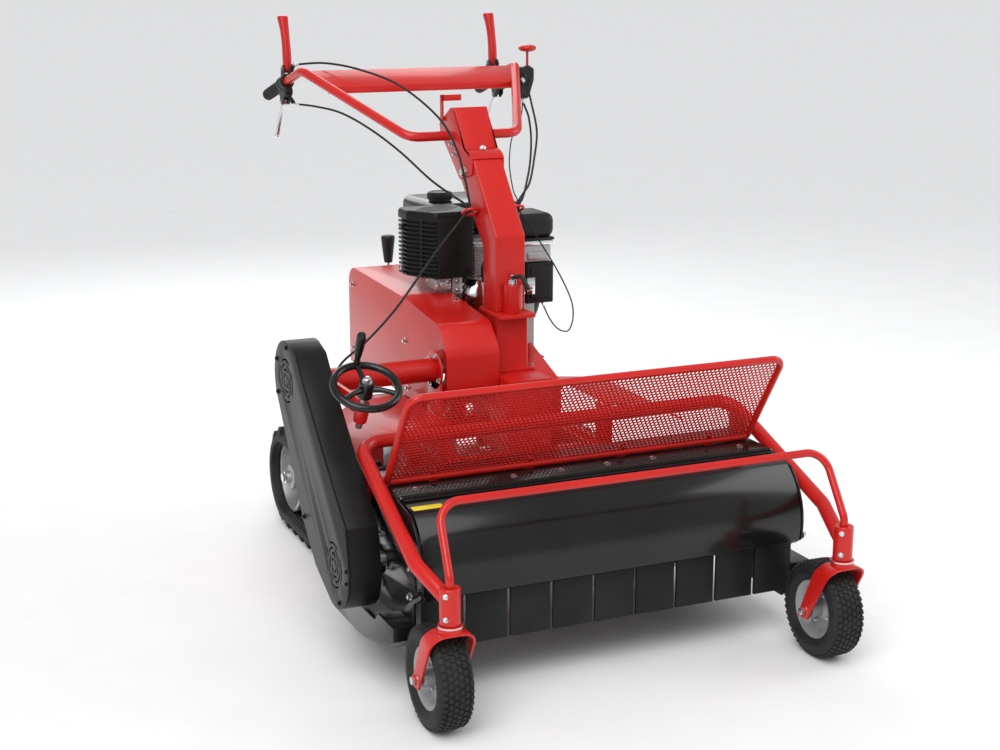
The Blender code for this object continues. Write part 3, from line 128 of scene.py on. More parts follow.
finishes = {
    "redPaint": (surface("redPaint", (0.56, 0.011, 0.007), (0.50, 0.009, 0.006), 0.32, coat=0.25,
                         grain=260, bump=0.08, depth=0.0004, shine=0.35), "red_paint"),
    "blackGloss": (surface("blackGloss", (0.006, 0.006, 0.006), (0.009, 0.009, 0.009), 0.20, coat=0.12,
                           grain=220, bump=0.05, depth=0.0004, shine=0.35), "black_paint"),
    "blackSatin": (surface("blackSatin", (0.005, 0.005, 0.005), (0.008, 0.008, 0.008), 0.38,
                           grain=520, bump=0.15, depth=0.0003, shine=0.22), "black_paint"),
    "blackPlastic": (surface("blackPlastic", (0.008, 0.008, 0.008), (0.014, 0.014, 0.014), 0.42,
                             grain=900, bump=0.3, depth=0.0003, shine=0.3), "black_plastic"),
    "softRubber": (surface("softRubber", (0.010, 0.010, 0.010), (0.018, 0.018, 0.017), 0.68,
                           grain=700, bump=0.4, depth=0.0004, patch=14, shine=0.3), "rubber"),
    "tyreRubber": (surface("tyreRubber", (0.012, 0.012, 0.012), (0.024, 0.023, 0.022), 0.64,
                           grain=600, bump=0.4, depth=0.0004, patch=20, shine=0.3), "tyre"),
    "flapRubber": (surface("flapRubber", (0.006, 0.006, 0.006), (0.012, 0.012, 0.012), 0.46,
                           grain=300, bump=0.25, depth=0.0005, patch=10, shine=0.25), "rubber"),
    "millSteel": (surface("millSteel", (0.30, 0.30, 0.31), (0.42, 0.42, 0.43), 0.38, metallic=0.9,
                          grain=300, bump=0.2, depth=0.0002, stretch=(1, 4, 4), patch=12), "steel"),
    "zincBolt": (surface("zincBolt", (0.62, 0.62, 0.62), (0.74, 0.74, 0.75), 0.26, metallic=1.0,
                         grain=500, bump=0.12, patch=40), "chrome"),
    "chromePlate": (surface("chromePlate", (0.74, 0.74, 0.75), (0.82, 0.82, 0.83), 0.12, metallic=1.0,
                            grain=300, bump=0.03, patch=30), "chrome"),
    "greyRim": (surface("greyRim", (0.30, 0.30, 0.31), (0.38, 0.38, 0.39), 0.36, metallic=0.35,
                        grain=380, bump=0.2, depth=0.0003, patch=16), "grey_paint"),
    "castAlloy": (surface("castAlloy", (0.40, 0.40, 0.40), (0.52, 0.52, 0.52), 0.42, metallic=0.8,
                          grain=340, bump=0.5, depth=0.0005, patch=18), "cast_alloy"),
    "redPlastic": (surface("redPlastic", (0.52, 0.010, 0.008), (0.46, 0.008, 0.007), 0.32, coat=0.1,
                           grain=500, bump=0.10, shine=0.35), "red_plastic"),
    "yellowLabel": (surface("yellowLabel", (0.78, 0.62, 0.02), (0.72, 0.56, 0.02), 0.35,
                            grain=300, bump=0.05), "black_paint"),
    "darkInside": (surface("darkInside", (0.006, 0.006, 0.006), (0.010, 0.010, 0.010), 0.8,
                           grain=300, bump=0.2), "black_paint"),
}


# every shape below is (points, faces) of one closed solid
def lathe(profile, base, direction, sides=32, ring=False):
    turn = Vector((0, 0, 1)).rotation_difference(Vector(direction).normalized()).to_matrix()
    points, faces, loops = [], [], []
    for radius, height in profile:
        count = sides if radius > 1e-6 else 1
        loops.append([len(points) + i for i in range(count)])
        for i in range(count):
            a = tau * i / sides
            points.append(Vector(base) + turn @ Vector((radius * math.cos(a), radius * math.sin(a), height)))
    pairs = list(zip(loops, loops[1:]))
    if ring:
        pairs.append((loops[-1], loops[0]))
    else:
        faces += [loop for loop in (loops[0], loops[-1]) if len(loop) > 1]
    for low, high in pairs:
        for i in range(sides):
            j = (i + 1) % sides
            if len(low) == 1:
                faces.append((low[0], high[j], high[i]))
            elif len(high) == 1:
                faces.append((low[i], low[j], high[0]))
            else:
                faces.append((low[i], low[j], high[j], high[i]))
    return points, faces


def rod(start, end, radius, sides=24):
    start, end = Vector(start), Vector(end)
    return lathe([(radius, 0), (radius, (end - start).length)], start, end - start, sides)


def slab(outline, axis, low, high):
    place = {"X": lambda p, t: (t, p[0], p[1]), "Y": lambda p, t: (p[0], t, p[1]), "Z": lambda p,
             t: (p[0], p[1], t)}[axis]
    count = len(outline)
    points = [Vector(place(p, t)) for t in (low, high) for p in outline]
    faces = [tuple(range(count)), tuple(range(2 * count - 1, count - 1, -1))]
    faces += [(i, i + count, (i + 1) % count + count, (i + 1) % count) for i in range(count)]
    return points, faces


def block(x, y, z):
    return slab([(x[0], y[0]), (x[1], y[0]), (x[1], y[1]), (x[0], y[1])], "Z", z[0], z[1])


def sweep(path, radius, sides=24, closed=False, ends=True):
    # a round section carried along a path without twisting; radius may be a list, one for each point
    path = [Vector(p) for p in path]
    count = len(path)
    radii = radius if isinstance(radius, (list, tuple)) else [radius] * count
    tangents = []
    for i in range(count):
        before = path[i - 1] if closed or i else path[0]
        after = path[(i + 1) % count] if closed or i < count - 1 else path[-1]
        tangents.append((after - before).normalized())
    side = tangents[0].orthogonal().normalized()
    sidesOf = []
    for i, tangent in enumerate(tangents):
        if i:
            side = tangents[i - 1].rotation_difference(tangent) @ side
        side = (side - tangent * side.dot(tangent)).normalized()
        sidesOf.append(side.copy())
    twist = 0.0
    if closed:
        last = tangents[-1].rotation_difference(tangents[0]) @ sidesOf[-1]
        twist = math.atan2(last.cross(sidesOf[0]).dot(tangents[0]), last.dot(sidesOf[0]))
    points, faces = [], []
    for i, (here, tangent, start) in enumerate(zip(path, tangents, sidesOf)):
        other = tangent.cross(start)
        for k in range(sides):
            a = tau * k / sides + twist * i / count
            points.append(here + (start * math.cos(a) + other * math.sin(a)) * radii[i])
    for i in range(count if closed else count - 1):
        n = (i + 1) % count
        for k in range(sides):
            m = (k + 1) % sides
            faces.append((i * sides + k, i * sides + m, n * sides + m, n * sides + k))
    if not closed and ends:
        faces.append(tuple(range(sides - 1, -1, -1)))
        faces.append(tuple((count - 1) * sides + k for k in range(sides)))
    return points, faces


def rounded(corners, radii, steps=10, closed=False):
    # the path through corners with each bend rounded to its radius
    corners = [Vector(p) for p in corners]
    count, path = len(corners), []
    for i, here in enumerate(corners):
        if not closed and i in (0, count - 1):
            path.append(here)
            continue
        before = (corners[i - 1] - here).normalized()
        after = (corners[(i + 1) % count] - here).normalized()
        radius = radii[i] if isinstance(radii, (list, tuple)) else radii
        half = before.angle(after) / 2
        reach = radius / math.tan(half)
        middle = here + (before + after).normalized() * (radius / math.sin(half))
        start, end = here + before * reach - middle, here + after * reach - middle
        path += [middle + start.lerp(end, k / steps).normalized() * radius for k in range(steps + 1)]
    return path


def arc(centre, radius, start, end, steps):
    turns = [math.radians(start + (end - start) * i / steps) for i in range(steps + 1)]
    return [(centre[0] + radius * math.cos(a), centre[1] + radius * math.sin(a)) for a in turns]


def routed(stations, spacing):
    # even points on a smooth curve through the stations
    stations = [Vector(p) for p in stations]
    ends = [2 * stations[0] - stations[1], *stations, 2 * stations[-1] - stations[-2]]
    dense = []
    for a, b, c, d in zip(ends, ends[1:], ends[2:], ends[3:]):
        for k in range(24):
            t = k / 24
            dense.append(0.5 * (2 * b + (c - a) * t + (2 * a - 5 * b + 4 * c - d) * t * t
                                + (3 * b - a - 3 * c + d) * t ** 3))
    dense.append(stations[-1])
    length = sum((q - p).length for p, q in zip(dense, dense[1:]))
    count = max(2, round(length / spacing))
    path, run, want = [dense[0]], 0.0, length / count
    for p, q in zip(dense, dense[1:]):
        step = (q - p).length
        while run + step >= want * len(path) and len(path) < count:
            path.append(p.lerp(q, (want * len(path) - run) / step))
        run += step
    return path + [dense[-1]]


def flipped(shape):
    return [Vector((-p.x, p.y, p.z)) for p in map(Vector, shape[0])], [tuple(reversed(f)) for f in shape[1]]


def bothSides(shapes):
    return [*shapes, *map(flipped, shapes)]


def settle(obj):
    # the object's modifiers become its mesh
    bpy.context.view_layer.update()
    mesh = bpy.data.meshes.new_from_object(obj.evaluated_get(bpy.context.evaluated_depsgraph_get()))
    obj.modifiers.clear()
    obj.data = mesh


def dress(obj, finish, body, replacing=(), sharp=38):
    material, slot = finishes[finish]
    obj.data.materials.clear()
    obj.data.materials.append(material)
    obj.data.shade_smooth()
    obj.data.set_sharp_from_angle(angle=math.radians(sharp))
    if body:
        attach(obj, body)
    if replacing:
        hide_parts(*replacing)
    return obj


def rounder(obj, bevel, steps=2, limit=35):
    edge = obj.modifiers.new("edge", "BEVEL")
    edge.width, edge.segments, edge.limit_method = bevel, steps, "ANGLE"
    edge.angle_limit = math.radians(limit)
    edge.use_clamp_overlap = True
    edge.harden_normals = False
    settle(obj)


def meshOf(shapes, offset=shift):
    bm = bmesh.new()
    for points, faces in shapes:
        made = [bm.verts.new(Vector(p) + offset) for p in points]
        for face in faces:
            bm.faces.new([made[i] for i in face])
    bmesh.ops.recalc_face_normals(bm, faces=bm.faces)
    mesh = bpy.data.meshes.new("shape")
    bm.to_mesh(mesh)
    bm.free()
    return mesh


def piece(name, shapes, finish, body="root", bevel=0.0, steps=2, replacing=(), sharp=38, cuts=()):
    obj = bpy.data.objects.new(name, meshOf(shapes))
    bpy.context.scene.collection.objects.link(obj)
    if cuts:
        tool = bpy.data.objects.new("tool", meshOf(cuts))
        bpy.context.scene.collection.objects.link(tool)
        carve = obj.modifiers.new("carve", "BOOLEAN")
        carve.operation, carve.solver, carve.object = "DIFFERENCE", "EXACT", tool
        settle(obj)
        bpy.data.objects.remove(tool)
    if bevel:
        rounder(obj, bevel, steps)
    return dress(obj, finish, body, replacing, sharp)


def camel(node, ending):
    head, *rest = node.split("_")
    return head + "".join(word.capitalize() for word in rest) + ending


def refined(node, finish, body=None, bevel=0.0012, steps=2, sharp=38):
    # a merged copy of a frame node with softened edges stands for the node
    obj = bpy.data.objects.new(camel(node, "Skin"), frame["nodes"][node].data.copy())
    bpy.context.scene.collection.objects.link(obj)
    bm = bmesh.new()
    bm.from_mesh(obj.data)
    bmesh.ops.remove_doubles(bm, verts=bm.verts, dist=0.00002)
    bmesh.ops.dissolve_limit(bm, angle_limit=math.radians(1), verts=bm.verts, edges=bm.edges)
    bm.to_mesh(obj.data)
    bm.free()
    if bevel:
        rounder(obj, bevel, steps)
    return dress(obj, finish, body or frame["nodes"][node]["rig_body"], [node], sharp)


# trees for what repeats
def newTree(name, sizes):
    group = bpy.data.node_groups.new(name, "GeometryNodeTree")
    group.interface.new_socket("Geometry", in_out="INPUT", socket_type="NodeSocketGeometry")
    for label, size in sizes.items():
        kind = {int: "NodeSocketInt", float: "NodeSocketFloat", tuple: "NodeSocketVector"}[type(size)]
        group.interface.new_socket(label, in_out="INPUT", socket_type=kind).default_value = size
    group.interface.new_socket("Finish", in_out="INPUT", socket_type="NodeSocketMaterial")
    group.interface.new_socket("Geometry", in_out="OUTPUT", socket_type="NodeSocketGeometry")
    given = group.nodes.new("NodeGroupInput")

    def add(kind, wires=None, **settings):
        node = group.nodes.new(kind)
        for key, value in settings.items():
            setattr(node, key, value)
        for key, value in (wires or {}).items():
            if isinstance(value, bpy.types.NodeSocket):
                group.links.new(value, node.inputs[key])
            else:
                node.inputs[key].default_value = value
        return node

    def close(geometry):
        real = add("GeometryNodeRealizeInstances", {"Geometry": geometry})
        painted = add("GeometryNodeSetMaterial", {"Geometry": real.outputs[0], "Material": given.outputs["Finish"]})
        add("NodeGroupOutput", {"Geometry": painted.outputs[0]})
        return group

    return given.outputs, add, close


def boltTree():
    # a flanged hex bolt head on every point, its axis along facing
    given, add, close = newTree("boltHeads", {"Head": 0.0065, "Height": 0.005, "Washer": 0.0085})
    facing = add("GeometryNodeInputNamedAttribute", {"Name": "facing"}, data_type="FLOAT_VECTOR")
    turn = add("FunctionNodeAlignRotationToVector", {"Vector": facing.outputs["Attribute"]}, axis="Z")
    washer = add("GeometryNodeMeshCylinder", {"Vertices": 20, "Radius": given["Washer"], "Depth": 0.0024})
    head = add("GeometryNodeMeshCylinder", {"Vertices": 6, "Radius": given["Head"], "Depth": given["Height"]})
    lift = add("ShaderNodeCombineXYZ", {"Z": given["Height"]})
    raised = add("GeometryNodeTransform", {"Geometry": head.outputs["Mesh"], "Translation": lift.outputs[0]})
    small = add("ShaderNodeMath", {0: given["Head"], 1: 0.8}, operation="MULTIPLY")
    crown = add("GeometryNodeMeshCone", {"Vertices": 6, "Radius Top": small.outputs[0],
                                         "Radius Bottom": given["Head"], "Depth": 0.0008})
    top = add("ShaderNodeMath", {0: given["Height"], 1: 1.5}, operation="MULTIPLY")
    topPlace = add("ShaderNodeCombineXYZ", {"Z": top.outputs[0]})
    crowned = add("GeometryNodeTransform", {"Geometry": crown.outputs["Mesh"], "Translation": topPlace.outputs[0]})
    bolt = add("GeometryNodeJoinGeometry")
    for part in (crowned.outputs[0], raised.outputs[0], washer.outputs["Mesh"]):
        bolt.id_data.links.new(part, bolt.inputs[0])
    placed = add("GeometryNodeInstanceOnPoints", {"Points": given["Geometry"], "Instance": bolt.outputs[0],
                                                  "Rotation": turn.outputs["Rotation"]})
    return close(placed.outputs[0])


def blockTree():
    # a block on every point, its top along facing and its length along the point's along
    given, add, close = newTree("blocks", {"Size": (0.01, 0.01, 0.01), "Taper": 0.85})
    facing = add("GeometryNodeInputNamedAttribute", {"Name": "facing"}, data_type="FLOAT_VECTOR")
    along = add("GeometryNodeInputNamedAttribute", {"Name": "along"}, data_type="FLOAT_VECTOR")
    upright = add("FunctionNodeAlignRotationToVector", {"Vector": facing.outputs["Attribute"]}, axis="Z")
    turn = add("FunctionNodeAlignRotationToVector", {"Rotation": upright.outputs["Rotation"],
               "Vector": along.outputs["Attribute"]}, axis="Y", pivot_axis="Z")
    cube = add("GeometryNodeMeshCube", {"Size": given["Size"]})
    place = add("GeometryNodeInputPosition")
    split = add("ShaderNodeSeparateXYZ", {"Vector": place.outputs[0]})
    isTop = add("FunctionNodeCompare", {"A": split.outputs["Z"], "B": 0.0}, data_type="FLOAT", operation="GREATER_THAN")
    narrow = add("ShaderNodeCombineXYZ", {"X": given["Taper"], "Y": given["Taper"], "Z": 1.0})
    scaled = add("ShaderNodeVectorMath", {0: place.outputs[0], 1: narrow.outputs[0]}, operation="MULTIPLY")
    shaped = add("GeometryNodeSetPosition", {"Geometry": cube.outputs["Mesh"], "Selection": isTop.outputs[0],
                                             "Position": scaled.outputs[0]})
    placed = add("GeometryNodeInstanceOnPoints", {"Points": given["Geometry"], "Instance": shaped.outputs[0],
                                                  "Rotation": turn.outputs["Rotation"]})
    return close(placed.outputs[0])


def meshPanelTree():
    # a sheet with staggered holes: ringed cells set on a grid, merged, then given their thickness
    given, add, close = newTree("perforatedSheet", {"Width": 0.9, "Height": 0.25, "Pitch": 0.01, "Hole": 0.0034,
                                                    "Thickness": 0.0016, "Columns": 90, "Rows": 30})
    grid = add("GeometryNodeMeshGrid", {"Size X": given["Width"], "Size Y": given["Height"],
                                        "Vertices X": given["Columns"], "Vertices Y": given["Rows"]})
    place = add("GeometryNodeInputPosition")
    split = add("ShaderNodeSeparateXYZ", {"Vector": place.outputs[0]})
    rowStep = add("ShaderNodeMath", {0: given["Pitch"], 1: 0.8660254}, operation="MULTIPLY")
    row = add("ShaderNodeMath", {0: split.outputs["Y"], 1: rowStep.outputs[0]}, operation="DIVIDE")
    lifted = add("ShaderNodeMath", {0: row.outputs[0], 1: 200.25}, operation="ADD")
    whole = add("ShaderNodeMath", {0: lifted.outputs[0]}, operation="FLOOR")
    odd = add("ShaderNodeMath", {0: whole.outputs[0], 1: 2.0}, operation="MODULO")
    half = add("ShaderNodeMath", {0: given["Pitch"], 1: 0.5}, operation="MULTIPLY")
    push = add("ShaderNodeMath", {0: odd.outputs[0], 1: half.outputs[0]}, operation="MULTIPLY")
    aside = add("ShaderNodeCombineXYZ", {"X": push.outputs[0]})
    staggered = add("GeometryNodeSetPosition", {"Geometry": grid.outputs["Mesh"], "Offset": aside.outputs[0]})
    corner = add("ShaderNodeMath", {0: given["Pitch"], 1: 0.5773503}, operation="MULTIPLY")
    cell = add("GeometryNodeMeshCone", {"Vertices": 6, "Radius Top": given["Hole"], "Radius Bottom": corner.outputs[0],
                                        "Depth": 0.0}, fill_type="NONE")
    turned = add("GeometryNodeTransform", {"Geometry": cell.outputs["Mesh"], "Rotation": (0.0, 0.0, math.pi / 6)})
    cells = add("GeometryNodeInstanceOnPoints", {"Points": staggered.outputs[0], "Instance": turned.outputs[0]})
    real = add("GeometryNodeRealizeInstances", {"Geometry": cells.outputs[0]})
    merged = add("GeometryNodeMergeByDistance", {"Geometry": real.outputs[0], "Distance": 0.0002})
    raised = add("GeometryNodeExtrudeMesh", {"Mesh": merged.outputs[0], "Offset Scale": given["Thickness"],
                                             "Individual": False})
    under = add("GeometryNodeFlipFaces", {"Mesh": merged.outputs[0]})
    both = add("GeometryNodeJoinGeometry")
    for part in (raised.outputs["Mesh"], under.outputs[0]):
        both.id_data.links.new(part, both.inputs[0])
    closed = add("GeometryNodeMergeByDistance", {"Geometry": both.outputs[0], "Distance": 0.00005})
    return close(closed.outputs[0])


trees = {"bolts": boltTree(), "blocks": blockTree(), "panel": meshPanelTree()}


def grown(name, spots, tree, finish, body, sizes, place=None, sharp=38):
    # a tree grown on spots, each (point, facing) or (point, facing, along)
    start = bpy.data.meshes.new(name)
    start.from_pydata([Vector(s[0]) for s in spots], [], [])
    for index, label in ((1, "facing"), (2, "along")):
        if spots and len(spots[0]) > index:
            column = start.attributes.new(label, "FLOAT_VECTOR", "POINT")
            for item, spot in zip(column.data, spots):
                item.vector = Vector(spot[index])
    obj = bpy.data.objects.new(name, start)
    bpy.context.scene.collection.objects.link(obj)
    grow = obj.modifiers.new("grow", "NODES")
    grow.node_group = trees[tree]
    for item in trees[tree].interface.items_tree:
        if item.in_out == "INPUT" and item.name == "Finish":
            grow[item.identifier] = finishes[finish][0]
        elif item.in_out == "INPUT" and item.name in sizes:
            grow[item.identifier] = sizes[item.name]
    settle(obj)
    obj.data.transform(Matrix.Translation(shift) @ (place or Matrix()))
    for label in ("facing", "along"):
        if label in obj.data.attributes:
            obj.data.attributes.remove(obj.data.attributes[label])
    return dress(obj, finish, body, (), sharp)


print("finishes, shapes and trees are ready")

sides = (("left", -1), ("right", 1))


def mirror(shapes, sign):
    return shapes if sign > 0 else [flipped(shape) for shape in shapes]


def unit(x, y, z):
    return Vector((x, y, z)).normalized()


def shifted(shape, x):
    return [Vector(p) + Vector((x, 0, 0)) for p in shape[0]], shape[1]


# guard over the hood's hinge
guard = {"low": (0.470, 0.383, 0.4435), "high": (0.470, 0.235, 0.671), "tube": 0.0085, "pitch": 0.0106,
         "hole": 0.0040, "sheet": 0.0016, "edge": 0.0045}
low, high = Vector(guard["low"]), Vector(guard["high"])
guardCorners = [(-low.x, low.y, low.z), low, high, (-high.x, high.y, high.z)]
guardPath = rounded(guardCorners, [0.010, 0.010, 0.032, 0.032], 10, closed=True)
hangers = [block((x - 0.012, x + 0.012), (low.y - 0.004, low.y + 0.006), (0.4338, low.z))
           for x in (-0.36, -0.12, 0.12, 0.36)]
piece("guardFrame", [sweep(guardPath, guard["tube"], 24, closed=True)], "redPaint", replacing=["guard"])
piece("guardFeet", hangers, "redPaint", bevel=0.001)
rise, middle = (high - low), (low + high) / 2
rowStep = guard["pitch"] * math.sqrt(3) / 2
columns = round(2 * (low.x - guard["edge"]) / guard["pitch"])
rows = round((rise.length - 2 * guard["edge"]) / rowStep)
up = rise.normalized()
panelPlace = Matrix.Translation((-guard["pitch"] / 4, middle.y, middle.z)) @ Matrix(
    ((1, 0, 0), (0, up.y, -up.z), (0, up.z, up.y))).to_4x4()
grown("guardMesh", [((0, 0, 0),)], "panel", "redPaint", "root",
      {"Width": (columns - 1) * guard["pitch"], "Height": (rows - 1) * rowStep, "Pitch": guard["pitch"],
       "Hole": guard["hole"], "Thickness": guard["sheet"], "Columns": columns, "Rows": rows}, place=panelPlace)
grown("guardBolts", [((x, low.y - 0.008, low.z + 0.016), unit(0, -0.84, -0.54)) for x in (-0.36, -0.12, 0.12, 0.36)],
      "bolts", "redPaint", "root", {"Head": 0.005, "Height": 0.003, "Washer": 0.0065})
print("guard")

# caster frame and hoop
frameTube = {"radius": 0.0168, "caster": 0.482, "stem": -0.018, "low": 0.2555, "socket": 0.0225}
cx, sy = frameTube["caster"], frameTube["stem"]
foot = sy + 0.01625
kink, corner = Vector((0.509, 0.105, 0.346)), Vector((0.494, 0.508, 0.504))
arms = rounded([(-cx, foot, 0.304), (-kink.x, kink.y, kink.z), (-corner.x, corner.y, corner.z), corner, kink,
                (cx, foot, 0.304)], [0, 0.07, 0.055, 0.055, 0.07, 0], 14)
pivot = (0.468, 0.388)
socket = lathe([(0.0205, 0), (frameTube["socket"], 0.002), (frameTube["socket"], 0.0775), (0.0205, 0.0795),
                (0.0105, 0.0795), (0.0105, 0.040), (0.0108, 0.040), (0.0108, 0)], (cx, sy, frameTube["low"]), (0, 0, 1),
               36, ring=True)
lug = slab([*arc(pivot, 0.024, 200, 360, 16), (0.498, 0.488), (0.418, 0.460)], "X", 0.487, 0.499)
piece("casterFrameTube", [sweep(arms, frameTube["radius"], 28), *bothSides([socket, lug])], "redPaint",
      "caster_frame", bevel=0.0008, replacing=["caster_frame"])
hoop = rounded([(-cx, sy, 0.309), (-cx, sy, 0.352), (-0.475, 0.064, 0.490), (0.475, 0.064, 0.490), (cx, sy, 0.352),
                (cx, sy, 0.309)], [0, 0.035, 0.050, 0.050, 0.035, 0], 14)
piece("frontHoopTube", [sweep(hoop, 0.009, 22)], "redPaint", "caster_frame", replacing=["front_hoop"])
socketBolts = []
for s in (-1, 1):
    socketBolts += [((s * cx - 0.0160, sy - 0.0160, 0.322), unit(-0.7, -0.7, 0)),
                    ((s * cx - 0.0160, sy - 0.0160, 0.272), unit(-0.7, -0.7, 0))]
grown("socketBolts", socketBolts, "bolts", "zincBolt", "caster_frame",
      {"Head": 0.0045, "Height": 0.004, "Washer": 0.006})
print("caster frame")

# casters
tyre = {"radius": 0.1145, "tread": 46, "rows": (-0.0295, -0.0178, -0.0060, 0.0060, 0.0178, 0.0295),
        "block": (0.0098, 0.0112, 0.0052)}
tyreHalf = [(0.0650, 0.022), (0.0672, 0.030), (0.0700, 0.0330), (0.0760, 0.0362), (0.0830, 0.0385), (0.0845, 0.0398),
            (0.0870, 0.0400), (0.0885, 0.0393), (0.0950, 0.0395), (0.1010, 0.0380), (0.1060, 0.0345), (0.1092, 0.0290),
            (0.1108, 0.0200), (0.1116, 0.0100)]
rimRing = [(0.0084, -0.040), (0.0180, -0.040), (0.0190, -0.038), (0.0190, -0.014), (0.0300, -0.008), (0.0480, -0.011),
           (0.0545, -0.022), (0.0600, -0.0285), (0.0668, -0.0300), (0.0700, -0.0325), (0.0716, -0.0318),
           (0.0706, -0.0290), (0.0664, -0.0262), (0.0625, -0.0120), (0.0625, 0.0120), (0.0664, 0.0262),
           (0.0706, 0.0290), (0.0716, 0.0318), (0.0700, 0.0325), (0.0668, 0.0300), (0.0600, 0.0285), (0.0545, 0.0180),
           (0.0480, 0.000), (0.0300, 0.000), (0.0190, 0.006), (0.0190, 0.038), (0.0180, 0.040), (0.0084, 0.040)]


def treadSpots(axle):
    spots = []
    for row, x in enumerate(tyre["rows"]):
        drop = (abs(x) / 0.034) ** 4
        radius = tyre["radius"] - tyre["block"][2] / 2 - 0.0036 * drop
        for k in range(tyre["tread"]):
            a = tau * (k + 0.5 * (row % 2)) / tyre["tread"]
            out = Vector((0.75 * drop * (1 if x > 0 else -1), math.cos(a), math.sin(a))).normalized()
            slant = 0.35 if row % 2 else -0.35
            along = Vector((slant, -math.sin(a), math.cos(a))).normalized()
            spots.append((axle + Vector((x, radius * math.cos(a), radius * math.sin(a))), out, along))
    return spots


for side, sign in sides:
    axle = Vector((sign * cx, sy + 0.064, tyre["radius"]))
    body = "caster_wheel_" + side
    ringProfile = [(r, -x) for r, x in tyreHalf] + [(r, x) for r, x in reversed(tyreHalf)]
    piece("casterTyreBody_" + side, [lathe(ringProfile, axle, (1, 0, 0), 72, ring=True)], "tyreRubber", body,
          replacing=["caster_tyre_" + side])
    grown("casterTread_" + side, treadSpots(axle), "blocks", "tyreRubber", body,
          {"Size": tyre["block"], "Taper": 0.86})
    piece("casterRimPressed_" + side, [lathe(rimRing, axle, (1, 0, 0), 64, ring=True)], "greyRim", body,
          replacing=["caster_rim_" + side])
    grown("rimBolts_" + side, [(axle + Vector((s * 0.0085, 0.036 * math.cos(a), 0.036 * math.sin(a))), (s, 0, 0))
                               for s in (-1, 1) for a in (tau * k / 4 + 0.4 for k in range(4))],
          "bolts", "zincBolt", body, {"Head": 0.0048, "Height": 0.0035, "Washer": 0.0068})
    refined("caster_fork_" + side, "redPaint", bevel=0.0016, steps=3)
    grown("axleNuts_" + side, [(axle + Vector((s * 0.0528, 0, 0)), (s, 0, 0)) for s in (-1, 1)], "bolts", "zincBolt",
          "caster_" + side, {"Head": 0.0095, "Height": 0.007, "Washer": 0.0125})
    piece("bearingSeal_" + side, [lathe([(0.0215, 0), (0.0270, 0.001), (0.0270, 0.004), (0.0215, 0.005)],
                                        (sign * cx, sy, 0.2495), (0, 0, 1), 32)], "zincBolt", "caster_" + side)
print("casters")

# hood, hinge and flaps
hood = {"half": 0.4735, "centre": (0.300, 0.290), "radius": 0.160, "wall": 0.003, "pin": (0.2835, 0.4345)}
hy, hz = hood["pin"]
outer = [(hy - 0.001, 0.4315), (0.262, 0.4295), (0.242, 0.4245), *arc(hood["centre"], hood["radius"], 124, 196, 44),
         (0.158, 0.2385)]
inner = [(0.161, 0.2400), *arc(hood["centre"], hood["radius"] - hood["wall"], 196, 124, 44), (0.2432, 0.4213),
         (0.262, 0.4263), (hy - 0.001, 0.4282)]
piece("hoodSheet", [slab(outer + inner, "X", -hood["half"], hood["half"])], "blackGloss", "hood", bevel=0.0006,
      replacing=["hood"], sharp=30)
piece("hoodLeaf", [block((-hood["half"], hood["half"]), (hy - 0.020, hy - 0.003), (0.4322, 0.4340))], "blackSatin",
      "hood")
knuckle = {"count": 44, "radius": 0.0052}
span = 2 * hood["half"] / knuckle["count"]
for parity, body, name in ((0, "hood", "hingeKnucklesHood"), (1, "root", "hingeKnucklesDeck")):
    piece(name, [rod((-hood["half"] + k * span + 0.0006, hy, hz), (-hood["half"] + (k + 1) * span - 0.0006, hy, hz),
                     knuckle["radius"], 16) for k in range(parity, knuckle["count"], 2)], "blackSatin", body)
piece("hingePin", [rod((-hood["half"] - 0.003, hy, hz), (hood["half"] + 0.003, hy, hz), 0.0026, 12)], "zincBolt",
      "root")
piece("hoodLabel", [slab([(0.2225, 0.4233), (0.2418, 0.4246), (0.2440, 0.4252), (0.2440, 0.4258), (0.2418, 0.4252),
                          (0.2225, 0.4240)], "X", -0.467, -0.396)],
      "yellowLabel", "hood", bevel=0.0002)
flap = {"count": 9, "half": 0.4705, "slot": 0.007, "front": 0.1735, "thick": 0.008, "low": 0.118, "top": 0.252}
flapPitch = (2 * flap["half"] + flap["slot"]) / flap["count"]
flaps = [block((-flap["half"] + k * flapPitch, -flap["half"] + (k + 1) * flapPitch - flap["slot"]),
               (flap["front"], flap["front"] + flap["thick"]), (flap["low"], flap["top"]))
         for k in range(flap["count"])]
eyes = [rod((-flap["half"] + k * flapPitch, 0.168, 0.252),
            (-flap["half"] + (k + 1) * flapPitch - flap["slot"], 0.168, 0.252), 0.009, 20)
        for k in range(flap["count"])]
piece("flapRow", flaps + eyes, "flapRubber", "flaps", bevel=0.0012, steps=2, replacing=["flap_curtain"])
grown("deckBolts", [((s * 0.4985, 0.168, 0.252), (s, 0, 0)) for s in (-1, 1)]
      + [((s * 0.4825, y, z), (s, 0, 0)) for s in (-1, 1) for y, z in
         ((0.205, 0.300), (0.250, 0.385), (0.560, 0.300), (0.560, 0.180), (0.452, 0.262), (0.334, 0.262),
          (0.393, 0.321), (0.393, 0.203))], "bolts", "zincBolt", "root",
      {"Head": 0.0065, "Height": 0.005, "Washer": 0.009})
grown("deckTopBolts", [((x, 0.335, 0.4342), (0, 0, 1)) for x in (-0.42, -0.18, -0.06, 0.06, 0.18, 0.42)], "bolts",
      "zincBolt", "root", {"Head": 0.006, "Height": 0.003, "Washer": 0.009})
refined("deck_shell", "blackGloss", bevel=0.0012)
print("hood and housing")

